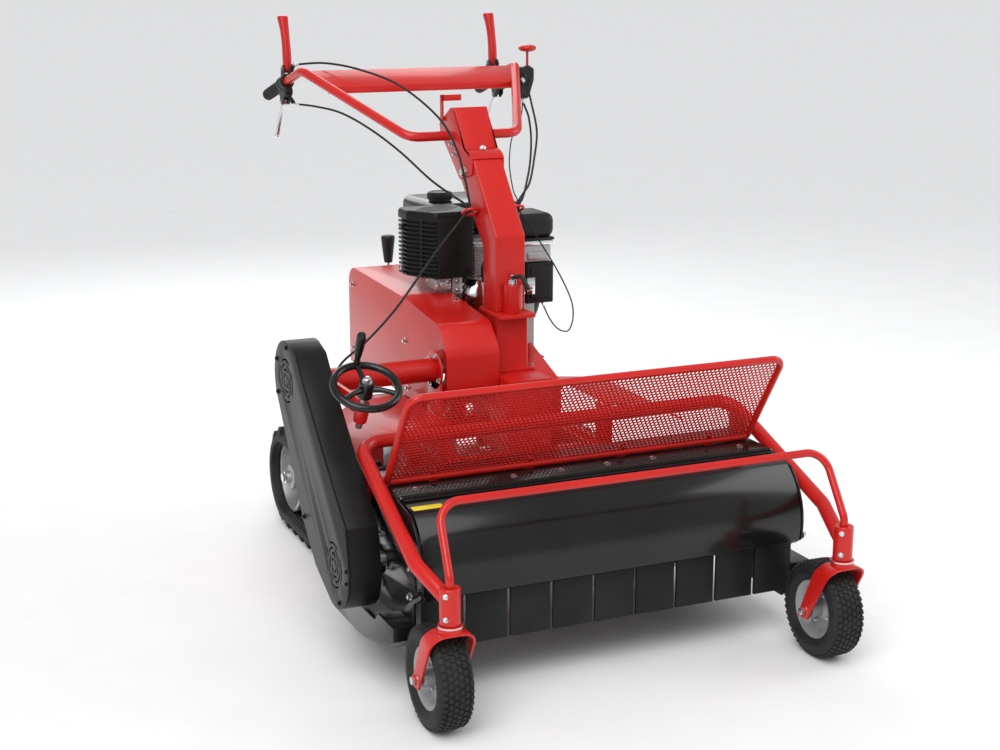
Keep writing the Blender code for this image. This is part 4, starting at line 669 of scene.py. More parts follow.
# belt case
case = {"inside": 0.518, "outside": 0.595, "wall": 0.003, "lid": 0.0045, "slot": 0.0042,
        "rings": (0.0150, 0.0270, 0.0390, 0.0510)}
rotorAt, caseTop, layAt = (0.393, 0.262), (0.725, 0.612), (0.735, 0.600)
caseLine = [*arc(caseTop, 0.096, 110, -38, 40), (0.712, 0.430), (0.622, 0.300), (0.530, 0.215),
            *arc(rotorAt, 0.100, -72, -188, 36), (0.310, 0.371), (0.392, 0.439), (0.592, 0.624), (0.650, 0.690)]


def inset(line, distance):
    area = sum(a[0] * b[1] - b[0] * a[1] for a, b in zip(line, line[1:] + line[:1]))
    turn, moved = (1 if area > 0 else -1), []
    for before, here, after in zip(line[-1:] + line[:-1], line, line[1:] + line[:1]):
        d0, d1 = (Vector(here) - Vector(before)).normalized(), (Vector(after) - Vector(here)).normalized()
        n0, n1 = Vector((-d0.y, d0.x)) * turn, Vector((-d1.y, d1.x)) * turn
        way = (n0 + n1).normalized()
        moved.append(tuple(Vector(here) + way * (distance / max(0.3, way.dot(n0)))))
    return moved


def tray(line, wall, floorAt, floorInner, mouth):
    loops = [(line, floorAt), (line, mouth), (inset(line, wall), mouth), (inset(line, wall), floorInner)]
    count = len(line)
    points = [Vector((x, p[0], p[1])) for points, x in loops for p in points]
    faces = [tuple(range(count)), tuple(range(4 * count - 1, 3 * count - 1, -1))]
    for k in range(3):
        faces += [(k * count + i, k * count + (i + 1) % count, (k + 1) * count + (i + 1) % count, (k + 1) * count + i)
                  for i in range(count)]
    return points, faces


def arcSlots(centre, radii, width, low, high, gap=24):
    cuts = []
    for ring, radius in enumerate(radii):
        for k in range(4):
            start = 90 * k + gap / 2 + 45 * (ring % 2)
            end = start + 90 - gap
            cuts.append(slab(arc(centre, radius + width / 2, start, end, 14)
                             + arc(centre, radius - width / 2, end, start, 14), "X", low, high))
    return cuts


piece("beltCaseTray", [tray(caseLine, case["wall"], -case["inside"], -case["inside"] - case["wall"],
                            -case["outside"] + case["lid"] + 0.0003)], "blackSatin", "root", bevel=0.0008,
      replacing=["belt_case_tray"],
      cuts=[rod((-0.50, *rotorAt), (-0.53, *rotorAt), 0.034, 40), rod((-0.50, *layAt), (-0.53, *layAt), 0.023, 32)])
lidCuts = [cut for centre in (caseTop, rotorAt)
           for cut in arcSlots(centre, case["rings"], case["slot"], -0.600, -0.587)]
piece("beltCaseLid", [slab(caseLine, "X", -case["outside"], -case["outside"] + case["lid"])], "blackSatin", "root",
      bevel=0.0012, steps=2, replacing=["belt_case_lid"], cuts=lidCuts)
lidBolts = [inset(caseLine, 0.014)[i] for i in (4, 22, 38, 42, 56, 74, 80)]
grown("beltCaseBolts", [((-case["outside"], y, z), (-1, 0, 0)) for y, z in lidBolts], "bolts", "blackSatin", "root",
      {"Head": 0.0045, "Height": 0.0028, "Washer": 0.007})
print("belt case")

# belt cover between the engine and the layshaft
cover = {"left": 0.200, "right": 0.060, "sheet": 0.004, "hole": 0.033}
coverCorners = ((1.420, 0.475), (1.420, 0.750), (1.000, 0.736), (0.740, 0.708), (0.688, 0.650), (0.688, 0.552),
                (0.900, 0.475))
coverLine = [(p.x, p.y)
             for p in rounded([(*p, 0) for p in coverCorners], [0.010, 0.050, 0.30, 0.050, 0.060, 0.010, 0.050],
                                         14, closed=True)]
piece("beltCoverShell",
      [tray(coverLine, cover["sheet"], -cover["left"], -cover["left"] + cover["sheet"], -cover["right"])], "redPaint",
      "root", bevel=0.0014, steps=3, replacing=["belt_cover"], sharp=28,
      cuts=[rod((-0.25, *layAt), (-0.19, *layAt), cover["hole"], 48)])
grown("coverBolts", [((-0.078, 1.309, 0.7470), (0, 0, 1)), ((-0.076, 0.930, 0.7292), unit(0, -0.1, 1)),
                     ((-0.078, 1.120, 0.7408), (0, 0, 1))]
      + [((-0.200, y, z), (-1, 0, 0)) for y, z in ((0.976, 0.622), (1.385, 0.700), (1.385, 0.520), (0.960, 0.500))],
      "bolts", "zincBolt", "root", {"Head": 0.0060, "Height": 0.0045, "Washer": 0.0085})

layTube = {"radius": 0.029, "start": -0.5177, "plate": 0.050}
y, z = layAt
tubeProfile = [(0.025, 0), (layTube["plate"], 0), (layTube["plate"], 0.006), (0.034, 0.0062),
               (layTube["radius"], 0.011), (layTube["radius"], 0.3030), (0.025, 0.3115)]
piece("layshaftTubeBody", [lathe(tubeProfile, (layTube["start"], y, z), (1, 0, 0), 48, ring=True),
                           lathe([(0.0292, 0), (0.049, 0), (0.049, 0.006), (0.0292, 0.006)], (-0.2160, y, z), (1, 0, 0),
                                 48, ring=True)],
      "redPaint", "root", bevel=0.0008, replacing=["layshaft_tube"])
hub, spin = Vector((-0.500, 0.425, 0.657)), Vector((0.0, -0.4714, 0.8819))
piece("spindleNut",
      [lathe([(0.0083, 0), (0.016, 0), (0.0165, 0.002), (0.0165, 0.048), (0.0155, 0.050), (0.0083, 0.050)],
                           hub - spin * 0.100, spin, 32, ring=True)], "redPaint")
piece("layshaftBrackets",
      [slab([(y - 0.040, z - 0.020), (y + 0.040, z - 0.020), (y + 0.050, 0.3905), (y - 0.045, 0.3905)], "X",
                                -0.216, -0.208),
       slab([(0.462, 0.620), (0.462, 0.580), (0.715, 0.580), (0.715, 0.620)], "X",
                                                      -0.505, -0.495)], "redPaint", "root", bevel=0.0015)
grown("layshaftBolts", [((x, y + 0.0405 * math.cos(a), z + 0.0405 * math.sin(a)), (s, 0, 0))
                        for x, s in ((-0.216, -1), (-0.5117, 1)) for a in (tau * k / 4 + 0.5 for k in range(4))],
      "bolts", "zincBolt", "root", {"Head": 0.0052, "Height": 0.004, "Washer": 0.0075})
print("belt cover and layshaft tube")

# handwheel and its crank
wheel = {"rim": 0.0735, "wire": 0.009, "hub": 0.017, "spokes": 3}
side, back = Vector((1, 0, 0)), Vector((0, spin.z, -spin.y))
rim = sweep([hub + wheel["rim"] * (side * math.cos(tau * k / 72) + back * math.sin(tau * k / 72)) for k in range(72)],
            wheel["wire"], 20, closed=True)
spokes = []
for k in range(wheel["spokes"]):
    a = math.pi / 2 + tau * k / wheel["spokes"]
    way = side * math.cos(a) + back * math.sin(a)
    low, high = hub + way * 0.012 - spin * 0.003, hub + way * wheel["rim"]
    spokes.append(sweep([low.lerp(high, t) + spin * (0.004 * math.sin(math.pi * t)) for t in (i / 8 for i in range(9))],
                        [0.0085, 0.0078, 0.0070, 0.0064, 0.0060, 0.0060, 0.0062, 0.0068, 0.0074], 14))
boss = lathe([(0.0175, 0), (0.0180, 0.004), (wheel["hub"], 0.022), (0.0180, 0.034), (0.0168, 0.039), (0.0135, 0.0405)],
             hub - spin * 0.026, spin, 36)
piece("handwheelCasting", [rim, boss, *spokes], "blackGloss", "handwheel", replacing=["handwheel"])
piece("handwheelSpindle", [lathe([(0.0072, 0), (0.008, 0.001), (0.008, 0.098)], hub - spin * 0.122, spin, 24)],
      "millSteel", "handwheel")
grown("handwheelNut", [(hub + spin * 0.0148, spin)], "bolts", "chromePlate", "handwheel",
      {"Head": 0.0085, "Height": 0.007, "Washer": 0.0115})
base = hub + wheel["rim"] * back + spin * (wheel["wire"] + 0.0003)
handle = [(0.0062, 0), (0.0072, 0.001), (0.0072, 0.006), (0.0060, 0.008), (0.0064, 0.011), (0.0082, 0.022),
          (0.0102, 0.045), (0.0112, 0.062), (0.0112, 0.072), (0.0102, 0.080), (0.0080, 0.0838), (0.0045, 0.0850)]
piece("crankHandleTurned", [lathe(handle, base, spin, 32)], "blackGloss", "crank_handle", replacing=["crank_handle"])
print("handwheel")

# steering column, lock and pedestal
column = {"half": 0.040, "low": 0.725, "lock": 0.741, "lockTop": 0.796}
tiltAt = (0.938, 1.056)
columnLine = [(0.755, column["low"]), (0.755, 0.912), (0.7565, 0.917), *arc(tiltAt, 0.0525, 150, -18, 34),
              (0.839, 0.884), (0.835, 0.876), (0.835, column["low"])]
ringAt, ringShapes = Vector((0.062, 0.862, 0.965)), []
lean = unit(0, 0.5, 0.85).cross(Vector((1, 0, 0)))
ringShapes.append(sweep([ringAt + side * (0.020 * math.cos(a)) + lean * (0.020 * math.sin(a))
                         for a in (tau * k / 40 for k in range(40))], 0.0038, 12, closed=True))
ringShapes.append(sweep([(column["half"] - 0.002, 0.878, 0.952), (0.047, 0.872, 0.957), (0.053, 0.868, 0.960)], 0.0042,
                        12))
piece("columnTube", [slab(columnLine, "X", -column["half"], column["half"])], "redPaint", "column", bevel=0.0035,
      steps=4, replacing=["steering_column"], sharp=28)
piece("columnRings", bothSides(ringShapes), "redPaint", "column")
piece("lockBoss",
      [lathe([(0.0075, 0), (0.0235, 0), (0.0240, 0.001), (0.0240, 0.0695), (0.0225, 0.0710), (0.0075, 0.0710)],
                         (0, column["lock"], column["low"]), (0, 0, 1), 40, ring=True),
                   block((-0.016, 0.016), (0.741, 0.757), (0.7253, 0.7925))], "redPaint", "column")
tilt = {"reach": 0.0535, "radius": 0.006, "head": 0.0465}
piece("tiltBolt", [rod((-tilt["reach"], *tiltAt), (tilt["reach"], *tiltAt), tilt["radius"], 20)], "zincBolt", "column")
grown("tiltBoltHeads", [((s * tilt["head"], *tiltAt), (s, 0, 0)) for s in (-1, 1)], "bolts", "zincBolt", "column",
      {"Head": 0.0105, "Height": 0.007, "Washer": 0.0130})
piece("lockPinSteel", [lathe([(0.0058, 0), (0.007, 0.002), (0.007, 0.094)], (0, column["lock"], 0.7262), (0, 0, 1), 24),
                       lathe([(0.0070, 0), (0.0125, 0.0), (0.0125, 0.002), (0.0110, 0.0035), (0.0110, 0.0115),
                              (0.0070, 0.0125)],
                             (0, column["lock"], column["lockTop"] + 0.0003), (0, 0, 1), 6)], "chromePlate", "lock_pin",
      bevel=0.0006, replacing=["lock_pin"])
leverPath = rounded([(-0.004, 0.739, 0.813), (0.014, 0.717, 0.820), (0.024, 0.701, 0.786)], [0, 0.012, 0], 12)
leverSize = [0.0052 + 0.0013 * (i / (len(leverPath) - 1)) ** 2 for i in range(len(leverPath))]
piece("lockLever", [sweep(leverPath, leverSize, 16)], "blackPlastic", "lock_pin", bevel=0.001)
refined("column_pedestal", "redPaint", bevel=0.0028, steps=3)
grown("pedestalBolts", [((s * 0.0500, y, 0.5832), (0, 0, 1)) for s in (-1, 1) for y in (0.736, 0.848)], "bolts",
      "zincBolt", "root", {"Head": 0.0050, "Height": 0.004, "Washer": 0.0052})
refined("chassis", "redPaint", bevel=0.0022, steps=2)
print("column")

# handlebar, head and controls
bar = {"low": Vector((0.153, 1.052, 1.137)), "high": Vector((0.316, 1.430, 1.288)),
       "end": Vector((0.329, 1.720, 1.204)), "radius": 0.0125, "clamp": 1.572}
mirrored = [Vector((-p.x, p.y, p.z)) for p in (bar["end"], bar["high"], bar["low"])]
barPath = rounded([*mirrored, bar["low"], bar["high"], bar["end"]], [0, 0.055, 0.045, 0.045, 0.055, 0], 14)
piece("handlebarTube", [sweep(barPath, bar["radius"], 28)], "redPaint", "handlebar", replacing=["handlebar"])
along = (bar["low"] - bar["high"]).normalized()
top, low = bar["high"] + along * 0.004, bar["high"] + along * 0.112
normal = Vector((1, 0, 0)).cross(along).normalized()
corners = [Vector((-top.x, top.y, top.z)), top, low, Vector((-low.x, low.y, low.z))]
points = [p + normal * off for off in (-0.0015, 0.0015) for p in corners]
panelFaces = [(0, 1, 2, 3), (7, 6, 5, 4)] + [(i, (i + 1) % 4, (i + 1) % 4 + 4, i + 4) for i in range(4)]
piece("handlebarPanel",
      [(points, panelFaces), block((-low.x, low.x), (low.y - 0.0015, low.y + 0.0018), (low.z - 0.018, low.z + 0.001)),
                         block((-top.x + 0.012, top.x - 0.012), (top.y - 0.0012, top.y + 0.0016),
                               (top.z - 0.010, top.z + 0.001))],
      "redPaint", "handlebar", bevel=0.0007)
headSide = [(0.895, 1.052), *arc(tiltAt, 0.0573, 140, 84, 16), (1.006, 1.213), (1.036, 1.210), (1.112, 1.165),
            (1.105, 1.140), (0.975, 1.032)]
headFold = [*arc(tiltAt, 0.0575, 140, 84, 16), (1.006, 1.213), (1.036, 1.210), (1.112, 1.165)]
headUnder = [(1.109, 1.160), (1.034, 1.205), (1.009, 1.207), *arc(tiltAt, 0.0535, 84, 140, 16)]
piece("headFold", [slab(headFold + headUnder, "X", -0.0455, 0.0455)], "redPaint", "handlebar", bevel=0.0030, steps=4,
      sharp=28)
piece("headCheeks", bothSides([slab(inset(headSide, 0.0010), "X", 0.0403, 0.0453)]), "redPaint", "handlebar",
      bevel=0.0010)
headBolts = [((0.0, 0.9285, 1.1145), unit(0, -0.92, 0.4))]
headBolts += [((s * 0.0453, yy, zz), (s, 0, 0)) for s in (-1, 1) for yy, zz in ((1.026, 1.118), (1.004, 1.094))]
grown("headBolts", headBolts, "bolts", "zincBolt", "handlebar", {"Head": 0.0062, "Height": 0.005, "Washer": 0.0085})

gripWay = (bar["end"] - bar["high"]).normalized()
here = bar["high"].lerp(bar["end"], (bar["clamp"] - bar["high"].y) / (bar["end"].y - bar["high"].y))
clampBody = lathe([(0.0127, 0), (0.0190, 0.0), (0.0210, 0.002), (0.0210, 0.018), (0.0195, 0.0195), (0.0195, 0.0245),
                   (0.0210, 0.026), (0.0210, 0.042), (0.0190, 0.044), (0.0127, 0.044)], here - gripWay * 0.022, gripWay,
                  36, ring=True)
upper, lower = Vector((0.312, 1.580, 1.287)), Vector((0.323, 1.574, 1.198))
cheek = slab([(1.562, 1.252), (1.598, 1.250), (1.596, 1.284), (1.588, 1.294), (1.574, 1.296), (1.565, 1.288)], "X", 0.0,
             0.0026)
housing = [(1.540, 1.240), (1.598, 1.236), (1.600, 1.222), (1.592, 1.2088), (1.553, 1.2088), (1.536, 1.214),
           (1.530, 1.228)]
fork = [(1.548, 1.215), (1.592, 1.215), (1.588, 1.192), (1.578, 1.186), (1.562, 1.188), (1.550, 1.198)]
arms = [rod((0.320, 1.562, 1.252), (0.306, 1.541, 1.297), 0.0062, 16),
        rod((0.320, 1.553, 1.214), (0.306, 1.548, 1.192), 0.006, 16)]
piece("leverClamps", bothSides([clampBody, shifted(cheek, upper.x - 0.0146), shifted(cheek, upper.x + 0.0120),
                                slab(housing, "X", lower.x - 0.0105, lower.x + 0.0105),
                                slab(fork, "X", lower.x + 0.0058, lower.x + 0.0100),
                                slab(fork, "X", lower.x - 0.0100, lower.x - 0.0058), *arms]),
      "blackPlastic", "handlebar", bevel=0.0012, steps=3)
pins = []
for s in (-1, 1):
    pins += [((s * (upper.x + 0.0148), upper.y, upper.z), (s, 0, 0)),
             ((s * (upper.x - 0.0148), upper.y, upper.z), (-s, 0, 0)),
             ((s * (lower.x + 0.0102), lower.y, lower.z), (s, 0, 0)),
             ((s * (lower.x - 0.0102), lower.y, lower.z), (-s, 0, 0)),
             ((s * (here.x - 0.0200), here.y, here.z), (-s, 0, 0))]
grown("leverPins", pins, "bolts", "zincBolt", "handlebar", {"Head": 0.0036, "Height": 0.003, "Washer": 0.0050})
switch = {"front": 1.432, "back": 1.472}
switchLine = [(p.x, p.y) for p in rounded([(0.327, 1.192, 0), (0.363, 1.191, 0), (0.3795, 1.245, 0), (0.3795, 1.281, 0),
                                          (0.325, 1.281, 0)], [0.008, 0.012, 0.02, 0.010, 0.008], 6, closed=True)]
piece("switchHousing", [slab(switchLine, "Y", switch["front"], switch["back"])], "blackPlastic", "handlebar",
      bevel=0.007, steps=5)
piece("switchDetails", [lathe([(0.010, 0), (0.010, 0.004), (0.0075, 0.0055)], (0.364, 1.450, 1.2790), (0, 0, 1), 24),
                        block((0.336, 0.352), (1.4305, 1.4335), (1.205, 1.262)),
                        block((0.358, 0.368), (1.4300, 1.4335), (1.222, 1.246))], "blackGloss", "handlebar",
      bevel=0.0008)
ribs = []
for k in range(16):
    ribs += [(0.0160, 0.010 + 0.0058 * k), (0.0168, 0.0112 + 0.0058 * k), (0.0168, 0.0142 + 0.0058 * k),
             (0.0160, 0.0154 + 0.0058 * k)]
gripStart = bar["end"] - gripWay * 0.115
gripShape = [(0.0150, 0), (0.0170, 0.0015), (0.0170, 0.007), *ribs, (0.0166, 0.106), (0.0166, 0.1135), (0.0150, 0.1172),
             (0.0110, 0.1190)]
for label, sign in sides:
    grip = lathe(gripShape, gripStart, gripWay, 32)
    piece("gripRubber_" + label, mirror([grip], sign), "softRubber", "handlebar", replacing=["grip_" + label])
print("handlebar")


def loft(sections, count=28, power=2.6):
    points, faces = [], []
    for x, y, z, wide, deep in sections:
        for k in range(count):
            a = tau * k / count
            c, s = math.cos(a), math.sin(a)
            points.append(Vector((x + wide * math.copysign(abs(c) ** (2 / power), c),
                                  y + deep * math.copysign(abs(s) ** (2 / power), s), z)))
    for i in range(len(sections) - 1):
        faces += [(i * count + k, i * count + (k + 1) % count, (i + 1) * count + (k + 1) % count, (i + 1) * count + k)
                  for k in range(count)]
    faces += [tuple(range(count - 1, -1, -1)), tuple((len(sections) - 1) * count + k for k in range(count))]
    return points, faces


# levers: height, forward shift, half width and half depth of each section
presence = [(-0.0136, 0.000, 0.0070, 0.0040), (-0.0120, 0.000, 0.0095, 0.0080), (-0.006, 0.000, 0.0110, 0.0126),
            (0.000, 0.000, 0.0112, 0.0140), (0.012, 0.0005, 0.0114, 0.0142), (0.030, 0.0012, 0.0118, 0.0138),
            (0.050, 0.0028, 0.0114, 0.0132), (0.075, 0.0080, 0.0112, 0.0126), (0.100, 0.0155, 0.0118, 0.0128),
            (0.120, 0.0245, 0.0130, 0.0140), (0.134, 0.0312, 0.0144, 0.0154), (0.1392, 0.0330, 0.0142, 0.0148),
            (0.1412, 0.0336, 0.0124, 0.0126), (0.1418, 0.0338, 0.0080, 0.0080)]
blade = [(-0.0095, 0.0),
         *[(0.0095 * math.cos(a), 0.0095 * math.sin(a)) for a in (math.pi * k / 12 for k in range(11, -1, -1))],
         (0.0160, -0.0065), (0.0270, -0.0150), (0.0490, -0.0390), (0.0690, -0.0670), (0.0830, -0.0900),
         (0.0905, -0.1040), (0.0885, -0.1090), (0.0825, -0.1080), (0.0750, -0.0960), (0.0605, -0.0730),
         (0.0400, -0.0475), (0.0170, -0.0240), (0.0010, -0.0145), (-0.0065, -0.0080)]
for label, sign in sides:
    shape = loft([(upper.x, upper.y + dy, upper.z + dz, wide, deep) for dz, dy, wide, deep in presence])
    piece("presenceLeverMoulding_" + label, mirror([shape], sign), "redPlastic", "presence_lever_" + label,
          replacing=["presence_lever_" + label], sharp=50)
    shape = slab([(lower.y + dy, lower.z + dz) for dy, dz in blade], "X", lower.x - 0.0048, lower.x + 0.0048)
    knob = lathe([(0.0, -0.0070)] + [(0.0070 * math.cos(a), 0.0070 * math.sin(a)) for a in (math.pi * (k / 10 - 0.5)
                 for k in range(1, 10))] + [(0.0, 0.0070)], (lower.x, lower.y + 0.0860, lower.z - 0.1045), (1, 0, 0),
                 20)
    piece("brakeLeverBlade_" + label, mirror([shape, knob], sign), "chromePlate", "brake_lever_" + label, bevel=0.0016,
          steps=3, replacing=["brake_lever_" + label])
piece("tiltLeverStrip", [block((-0.0496, -0.0456), (1.077, 1.095), (1.173, 1.240)),
                         block((-0.0496, 0.004), (1.077, 1.081), (1.224, 1.240)),
                         block((0.0005, 0.004), (1.0775, 1.090), (1.2245, 1.2395))], "redPaint", "tilt_lever",
      bevel=0.0009, replacing=["tilt_lever"])
knobProfile = [(0.0036, 0), (0.0036, 0.038), (0.0100, 0.0388), (0.0160, 0.0400), (0.0225, 0.0430), (0.0255, 0.0465),
               (0.0260, 0.0490), (0.0252, 0.0520), (0.0215, 0.0555), (0.0150, 0.0578), (0.0070, 0.0590), (0.0, 0.0592)]
piece("stopKnobMushroom", [lathe(knobProfile, (0.364, 1.450, 1.2846), (0, 0, 1), 40)], "redPlastic", "stop_knob",
      replacing=["stop_knob"], sharp=60)
gear = Vector((-0.046, 1.515, 0.430))
piece("gearLeverStem", [rod(gear - Vector((0, 0, 0.020)), gear + Vector((0, 0, 0.306)), 0.005, 20)], "chromePlate",
      "gear_lever", replacing=["gear_lever"])
gearProfile = [(0.0105, 0), (0.0120, 0.0010), (0.0130, 0.010), (0.0160, 0.035), (0.0190, 0.062), (0.0200, 0.070),
               (0.0197, 0.0745), (0.0180, 0.0775), (0.0140, 0.0788), (0.0, 0.0792)]
piece("gearKnob", [lathe(gearProfile, gear + Vector((0, 0, 0.300)), (0, 0, 1), 36)], "blackPlastic", "gear_lever",
      sharp=50)
print("levers and knobs")

# cables, with their ferrules
cables = {
    "cable_clutch_upper": ("handlebar", "column", 0.0029, [
        (-0.304, 1.536, 1.2985), (-0.247, 1.440, 1.306), (-0.185, 1.330, 1.293), (-0.124, 1.190, 1.258),
        (-0.085, 1.020, 1.189), (-0.072, 0.930, 1.118), (-0.067, 0.885, 1.043), (-0.063, 0.868, 0.990),
        (-0.061, 0.861, 0.962)]),
    "cable_drive_upper": ("handlebar", "column", 0.0029, [
        (-0.303, 1.545, 1.190), (-0.262, 1.480, 1.186), (-0.220, 1.390, 1.174), (-0.181, 1.270, 1.140),
        (-0.145, 1.140, 1.091), (-0.117, 1.000, 1.034), (-0.092, 0.905, 1.001), (-0.074, 0.872, 0.984),
        (-0.066, 0.860, 0.962)]),
    "cable_height_lower": ("column", "root", 0.0029, [
        (-0.070, 0.862, 0.966), (-0.105, 0.842, 0.940), (-0.169, 0.804, 0.892), (-0.239, 0.761, 0.834),
        (-0.325, 0.708, 0.764), (-0.412, 0.658, 0.709), (-0.483, 0.630, 0.670), (-0.508, 0.622, 0.640)]),
    "cable_clutch_right": ("handlebar", "column", 0.0029, [
        (0.337, 1.425, 1.250), (0.339, 1.395, 1.226), (0.322, 1.327, 1.183), (0.281, 1.205, 1.120),
        (0.214, 1.079, 1.059), (0.144, 0.955, 1.017), (0.096, 0.889, 1.000), (0.071, 0.866, 0.982),
        (0.064, 0.860, 0.958)]),
    "cable_drive_right": ("handlebar", "column", 0.0029, [
        (0.337, 1.425, 1.190), (0.335, 1.400, 1.170), (0.323, 1.349, 1.145), (0.285, 1.251, 1.098),
        (0.222, 1.122, 1.044), (0.146, 0.986, 0.998), (0.098, 0.898, 0.986), (0.076, 0.870, 0.975),
        (0.068, 0.858, 0.955)]),
    "cable_throttle_lower": ("column", "root", 0.0019, [
        (0.070, 0.862, 0.966), (0.086, 0.866, 0.940), (0.114, 0.874, 0.906), (0.160, 0.892, 0.848),
        (0.214, 0.915, 0.775), (0.258, 0.935, 0.700), (0.271, 0.949, 0.648), (0.262, 0.960, 0.611),
        (0.236, 0.968, 0.617), (0.214, 0.974, 0.645), (0.204, 0.984, 0.672), (0.200, 0.996, 0.690)]),
}
ferrules = {"handlebar": [], "root": []}
thinRoute = [(0.336, 1.440, 1.200), (0.330, 1.408, 1.174), (0.300, 1.362, 1.134), (0.250, 1.304, 1.093),
             (0.180, 1.164, 1.041), (0.110, 0.984, 0.997), (0.076, 0.884, 0.985), (0.062, 0.858, 0.965)]
thin = piece("throttleWireUpper", [sweep(routed(thinRoute, 0.005), 0.0017, 10)], "softRubber", None, sharp=60)
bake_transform(thin)
for node, (near, far, radius, stations) in cables.items():
    strand = piece(camel(node, "Sheath"), [sweep(routed(stations, 0.005), radius, 14)], "softRubber", None,
                   replacing=[node], sharp=60)
    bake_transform(strand)
    at, way = (0, 1) if near == "handlebar" else (-1, -2)
    start = Vector(stations[at])
    away = (Vector(stations[way]) - start).normalized()
    fit = [(radius * 1.1, 0), (radius * 1.75, 0.0004), (radius * 1.75, 0.008), (radius * 1.4, 0.009),
           (radius * 1.4, 0.016), (radius * 1.1, 0.018)]
    ferrules["handlebar" if near == "handlebar" else "root"].append(lathe(fit, start - away * 0.001, away, 20))
for body, shapes in ferrules.items():
    piece("cableFerrules_" + body, shapes, "zincBolt", body, bevel=0.0003)
print("cables")

# engine: tank, muffler guard, air cleaner, block with fins, starter
engine = {"plate": 0.535, "x": (-0.030, 0.200), "fins": 16, "finPitch": 0.0105, "finLow": 0.690, "fin": 0.0032}
tank = {"x": (-0.060, 0.200), "y": (1.125, 1.370), "z": (0.866, 0.947), "round": 0.024}
piece("fuelTankShell", [block(tank["x"], tank["y"], tank["z"])], "blackGloss", "root", bevel=tank["round"], steps=7,
      replacing=["fuel_tank"], sharp=60)
piece("fuelTankSeam", [block((-0.0600, 0.2000), (1.1275, 1.3675), (0.8600, 0.8680))], "blackSatin", "root", bevel=0.003,
      steps=3)
cap = {"at": (-0.010, 1.200), "radius": 0.0340, "valley": 0.0322, "ribs": 30}
capLine = []
for k in range(cap["ribs"]):
    for turn, radius in ((0.0, cap["valley"]), (0.18, cap["radius"]), (0.52, cap["radius"]), (0.70, cap["valley"])):
        a = tau * (k + turn) / cap["ribs"]
        capLine.append((cap["at"][0] + radius * math.cos(a), cap["at"][1] + radius * math.sin(a)))
piece("fuelCapKnurled", [slab(capLine, "Z", 0.9525, 0.9685),
                         lathe([(0.0290, 0), (0.0300, 0.0010), (0.0300, 0.0055)], (*cap["at"], 0.9473), (0, 0, 1), 36),
                         lathe([(0.0322, 0), (0.0322, 0.002), (0.0300, 0.0040), (0.0210, 0.0044), (0.0200, 0.0030),
                                (0.0, 0.0030)],
                               (*cap["at"], 0.9680), (0, 0, 1), 40)], "blackPlastic", "fuel_cap", bevel=0.0006,
      replacing=["fuel_cap"])

muffler = {"low": 0.775, "top": 0.950, "rings": 14, "pitch": 0.0112, "bar": 0.0052, "slot": 0.0052,
           "slots": 10, "slotPitch": 0.0120}
plan = [(p.x, p.y)
        for p in rounded([(-0.166, 1.115, 0), (-0.166, 1.046, 0), (-0.116, 0.965, 0), (-0.004, 0.965, 0),
                          (-0.004, 1.115, 0)],
                                    [0.012, 0.016, 0.014, 0.012, 0.008], 6, closed=True)]


def domed(line, levels):
    # one outline drawn in by steps as it rises
    count = len(line)
    loops = [inset(line, step) if step else line for step, z in levels]
    points = [Vector((*p, z)) for loop, (step, z) in zip(loops, levels) for p in loop]
    faces = [tuple(range(count - 1, -1, -1)), tuple(range(len(points) - count, len(points)))]
    faces += [(k * count + i, k * count + (i + 1) % count, (k + 1) * count + (i + 1) % count, (k + 1) * count + i)
              for k in range(len(levels) - 1) for i in range(count)]
    return points, faces


piece("mufflerBody", [slab(inset(plan, 0.009), "Z", muffler["low"] + 0.002, muffler["top"] - 0.010)], "darkInside",
      "root", replacing=["muffler_guard"])
rings = [slab(plan, "Z", z, z + muffler["bar"])
         for z in (muffler["low"] + 0.0045 + muffler["pitch"] * k for k in range(muffler["rings"]))]
posts = [rod((x, y, muffler["low"] + 0.002), (x, y, muffler["top"] - 0.012), 0.0042, 12)
         for x, y in ((-0.1605, 1.080), (-0.1380, 1.008))]
piece("mufflerRings", [*rings, *posts], "blackSatin", "root", bevel=0.0014)
slotWay, slotStep = Vector((0.50, -0.866)), Vector((0.866, 0.50))
slotCuts = []
for k in range(muffler["slots"]):
    fromMiddle = k - (muffler["slots"] - 1) / 2
    centre = Vector((-0.084, 1.042)) + slotStep * (fromMiddle * muffler["slotPitch"])
    half = slotWay * (0.046 - 0.0040 * abs(fromMiddle))
    wide = slotStep * (muffler["slot"] / 2)
    slotCuts.append(slab([tuple(centre + half + wide), tuple(centre - half + wide), tuple(centre - half - wide),
                          tuple(centre + half - wide)], "Z", 0.925, 0.960))
piece("mufflerTop",
      [domed(plan, [(0, 0.930), (0, 0.9385), (0.0008, 0.9430), (0.0024, 0.9468), (0.0046, 0.9490), (0.0070, 0.9500)])],
      "blackSatin", "root", cuts=slotCuts, sharp=30)
piece("mufflerFront", [block((-0.110, -0.012), (0.9632, 0.975), (0.7790, 0.9340))], "blackSatin", "root", bevel=0.004,
      steps=4)
piece("mufflerStuds", [rod((-0.1655, 1.070, 0.905), (-0.178, 1.070, 0.905), 0.0030, 12),
                       rod((-0.1655, 1.070, 0.798), (-0.174, 1.070, 0.798), 0.0030, 12)], "zincBolt")
grown("mufflerBolts",
      [((-0.1660, 1.070, 0.905), (-1, 0, 0)), ((-0.052, 0.9632, 0.842), (0, -1, 0)),
       ((-0.024, 0.9632, 0.795), (0, -1, 0)),
                       ((-0.098, 0.9632, 0.795), (0, -1, 0))],
      "bolts", "blackSatin", "root", {"Head": 0.0048, "Height": 0.0035, "Washer": 0.0068})
print("tank and muffler guard")

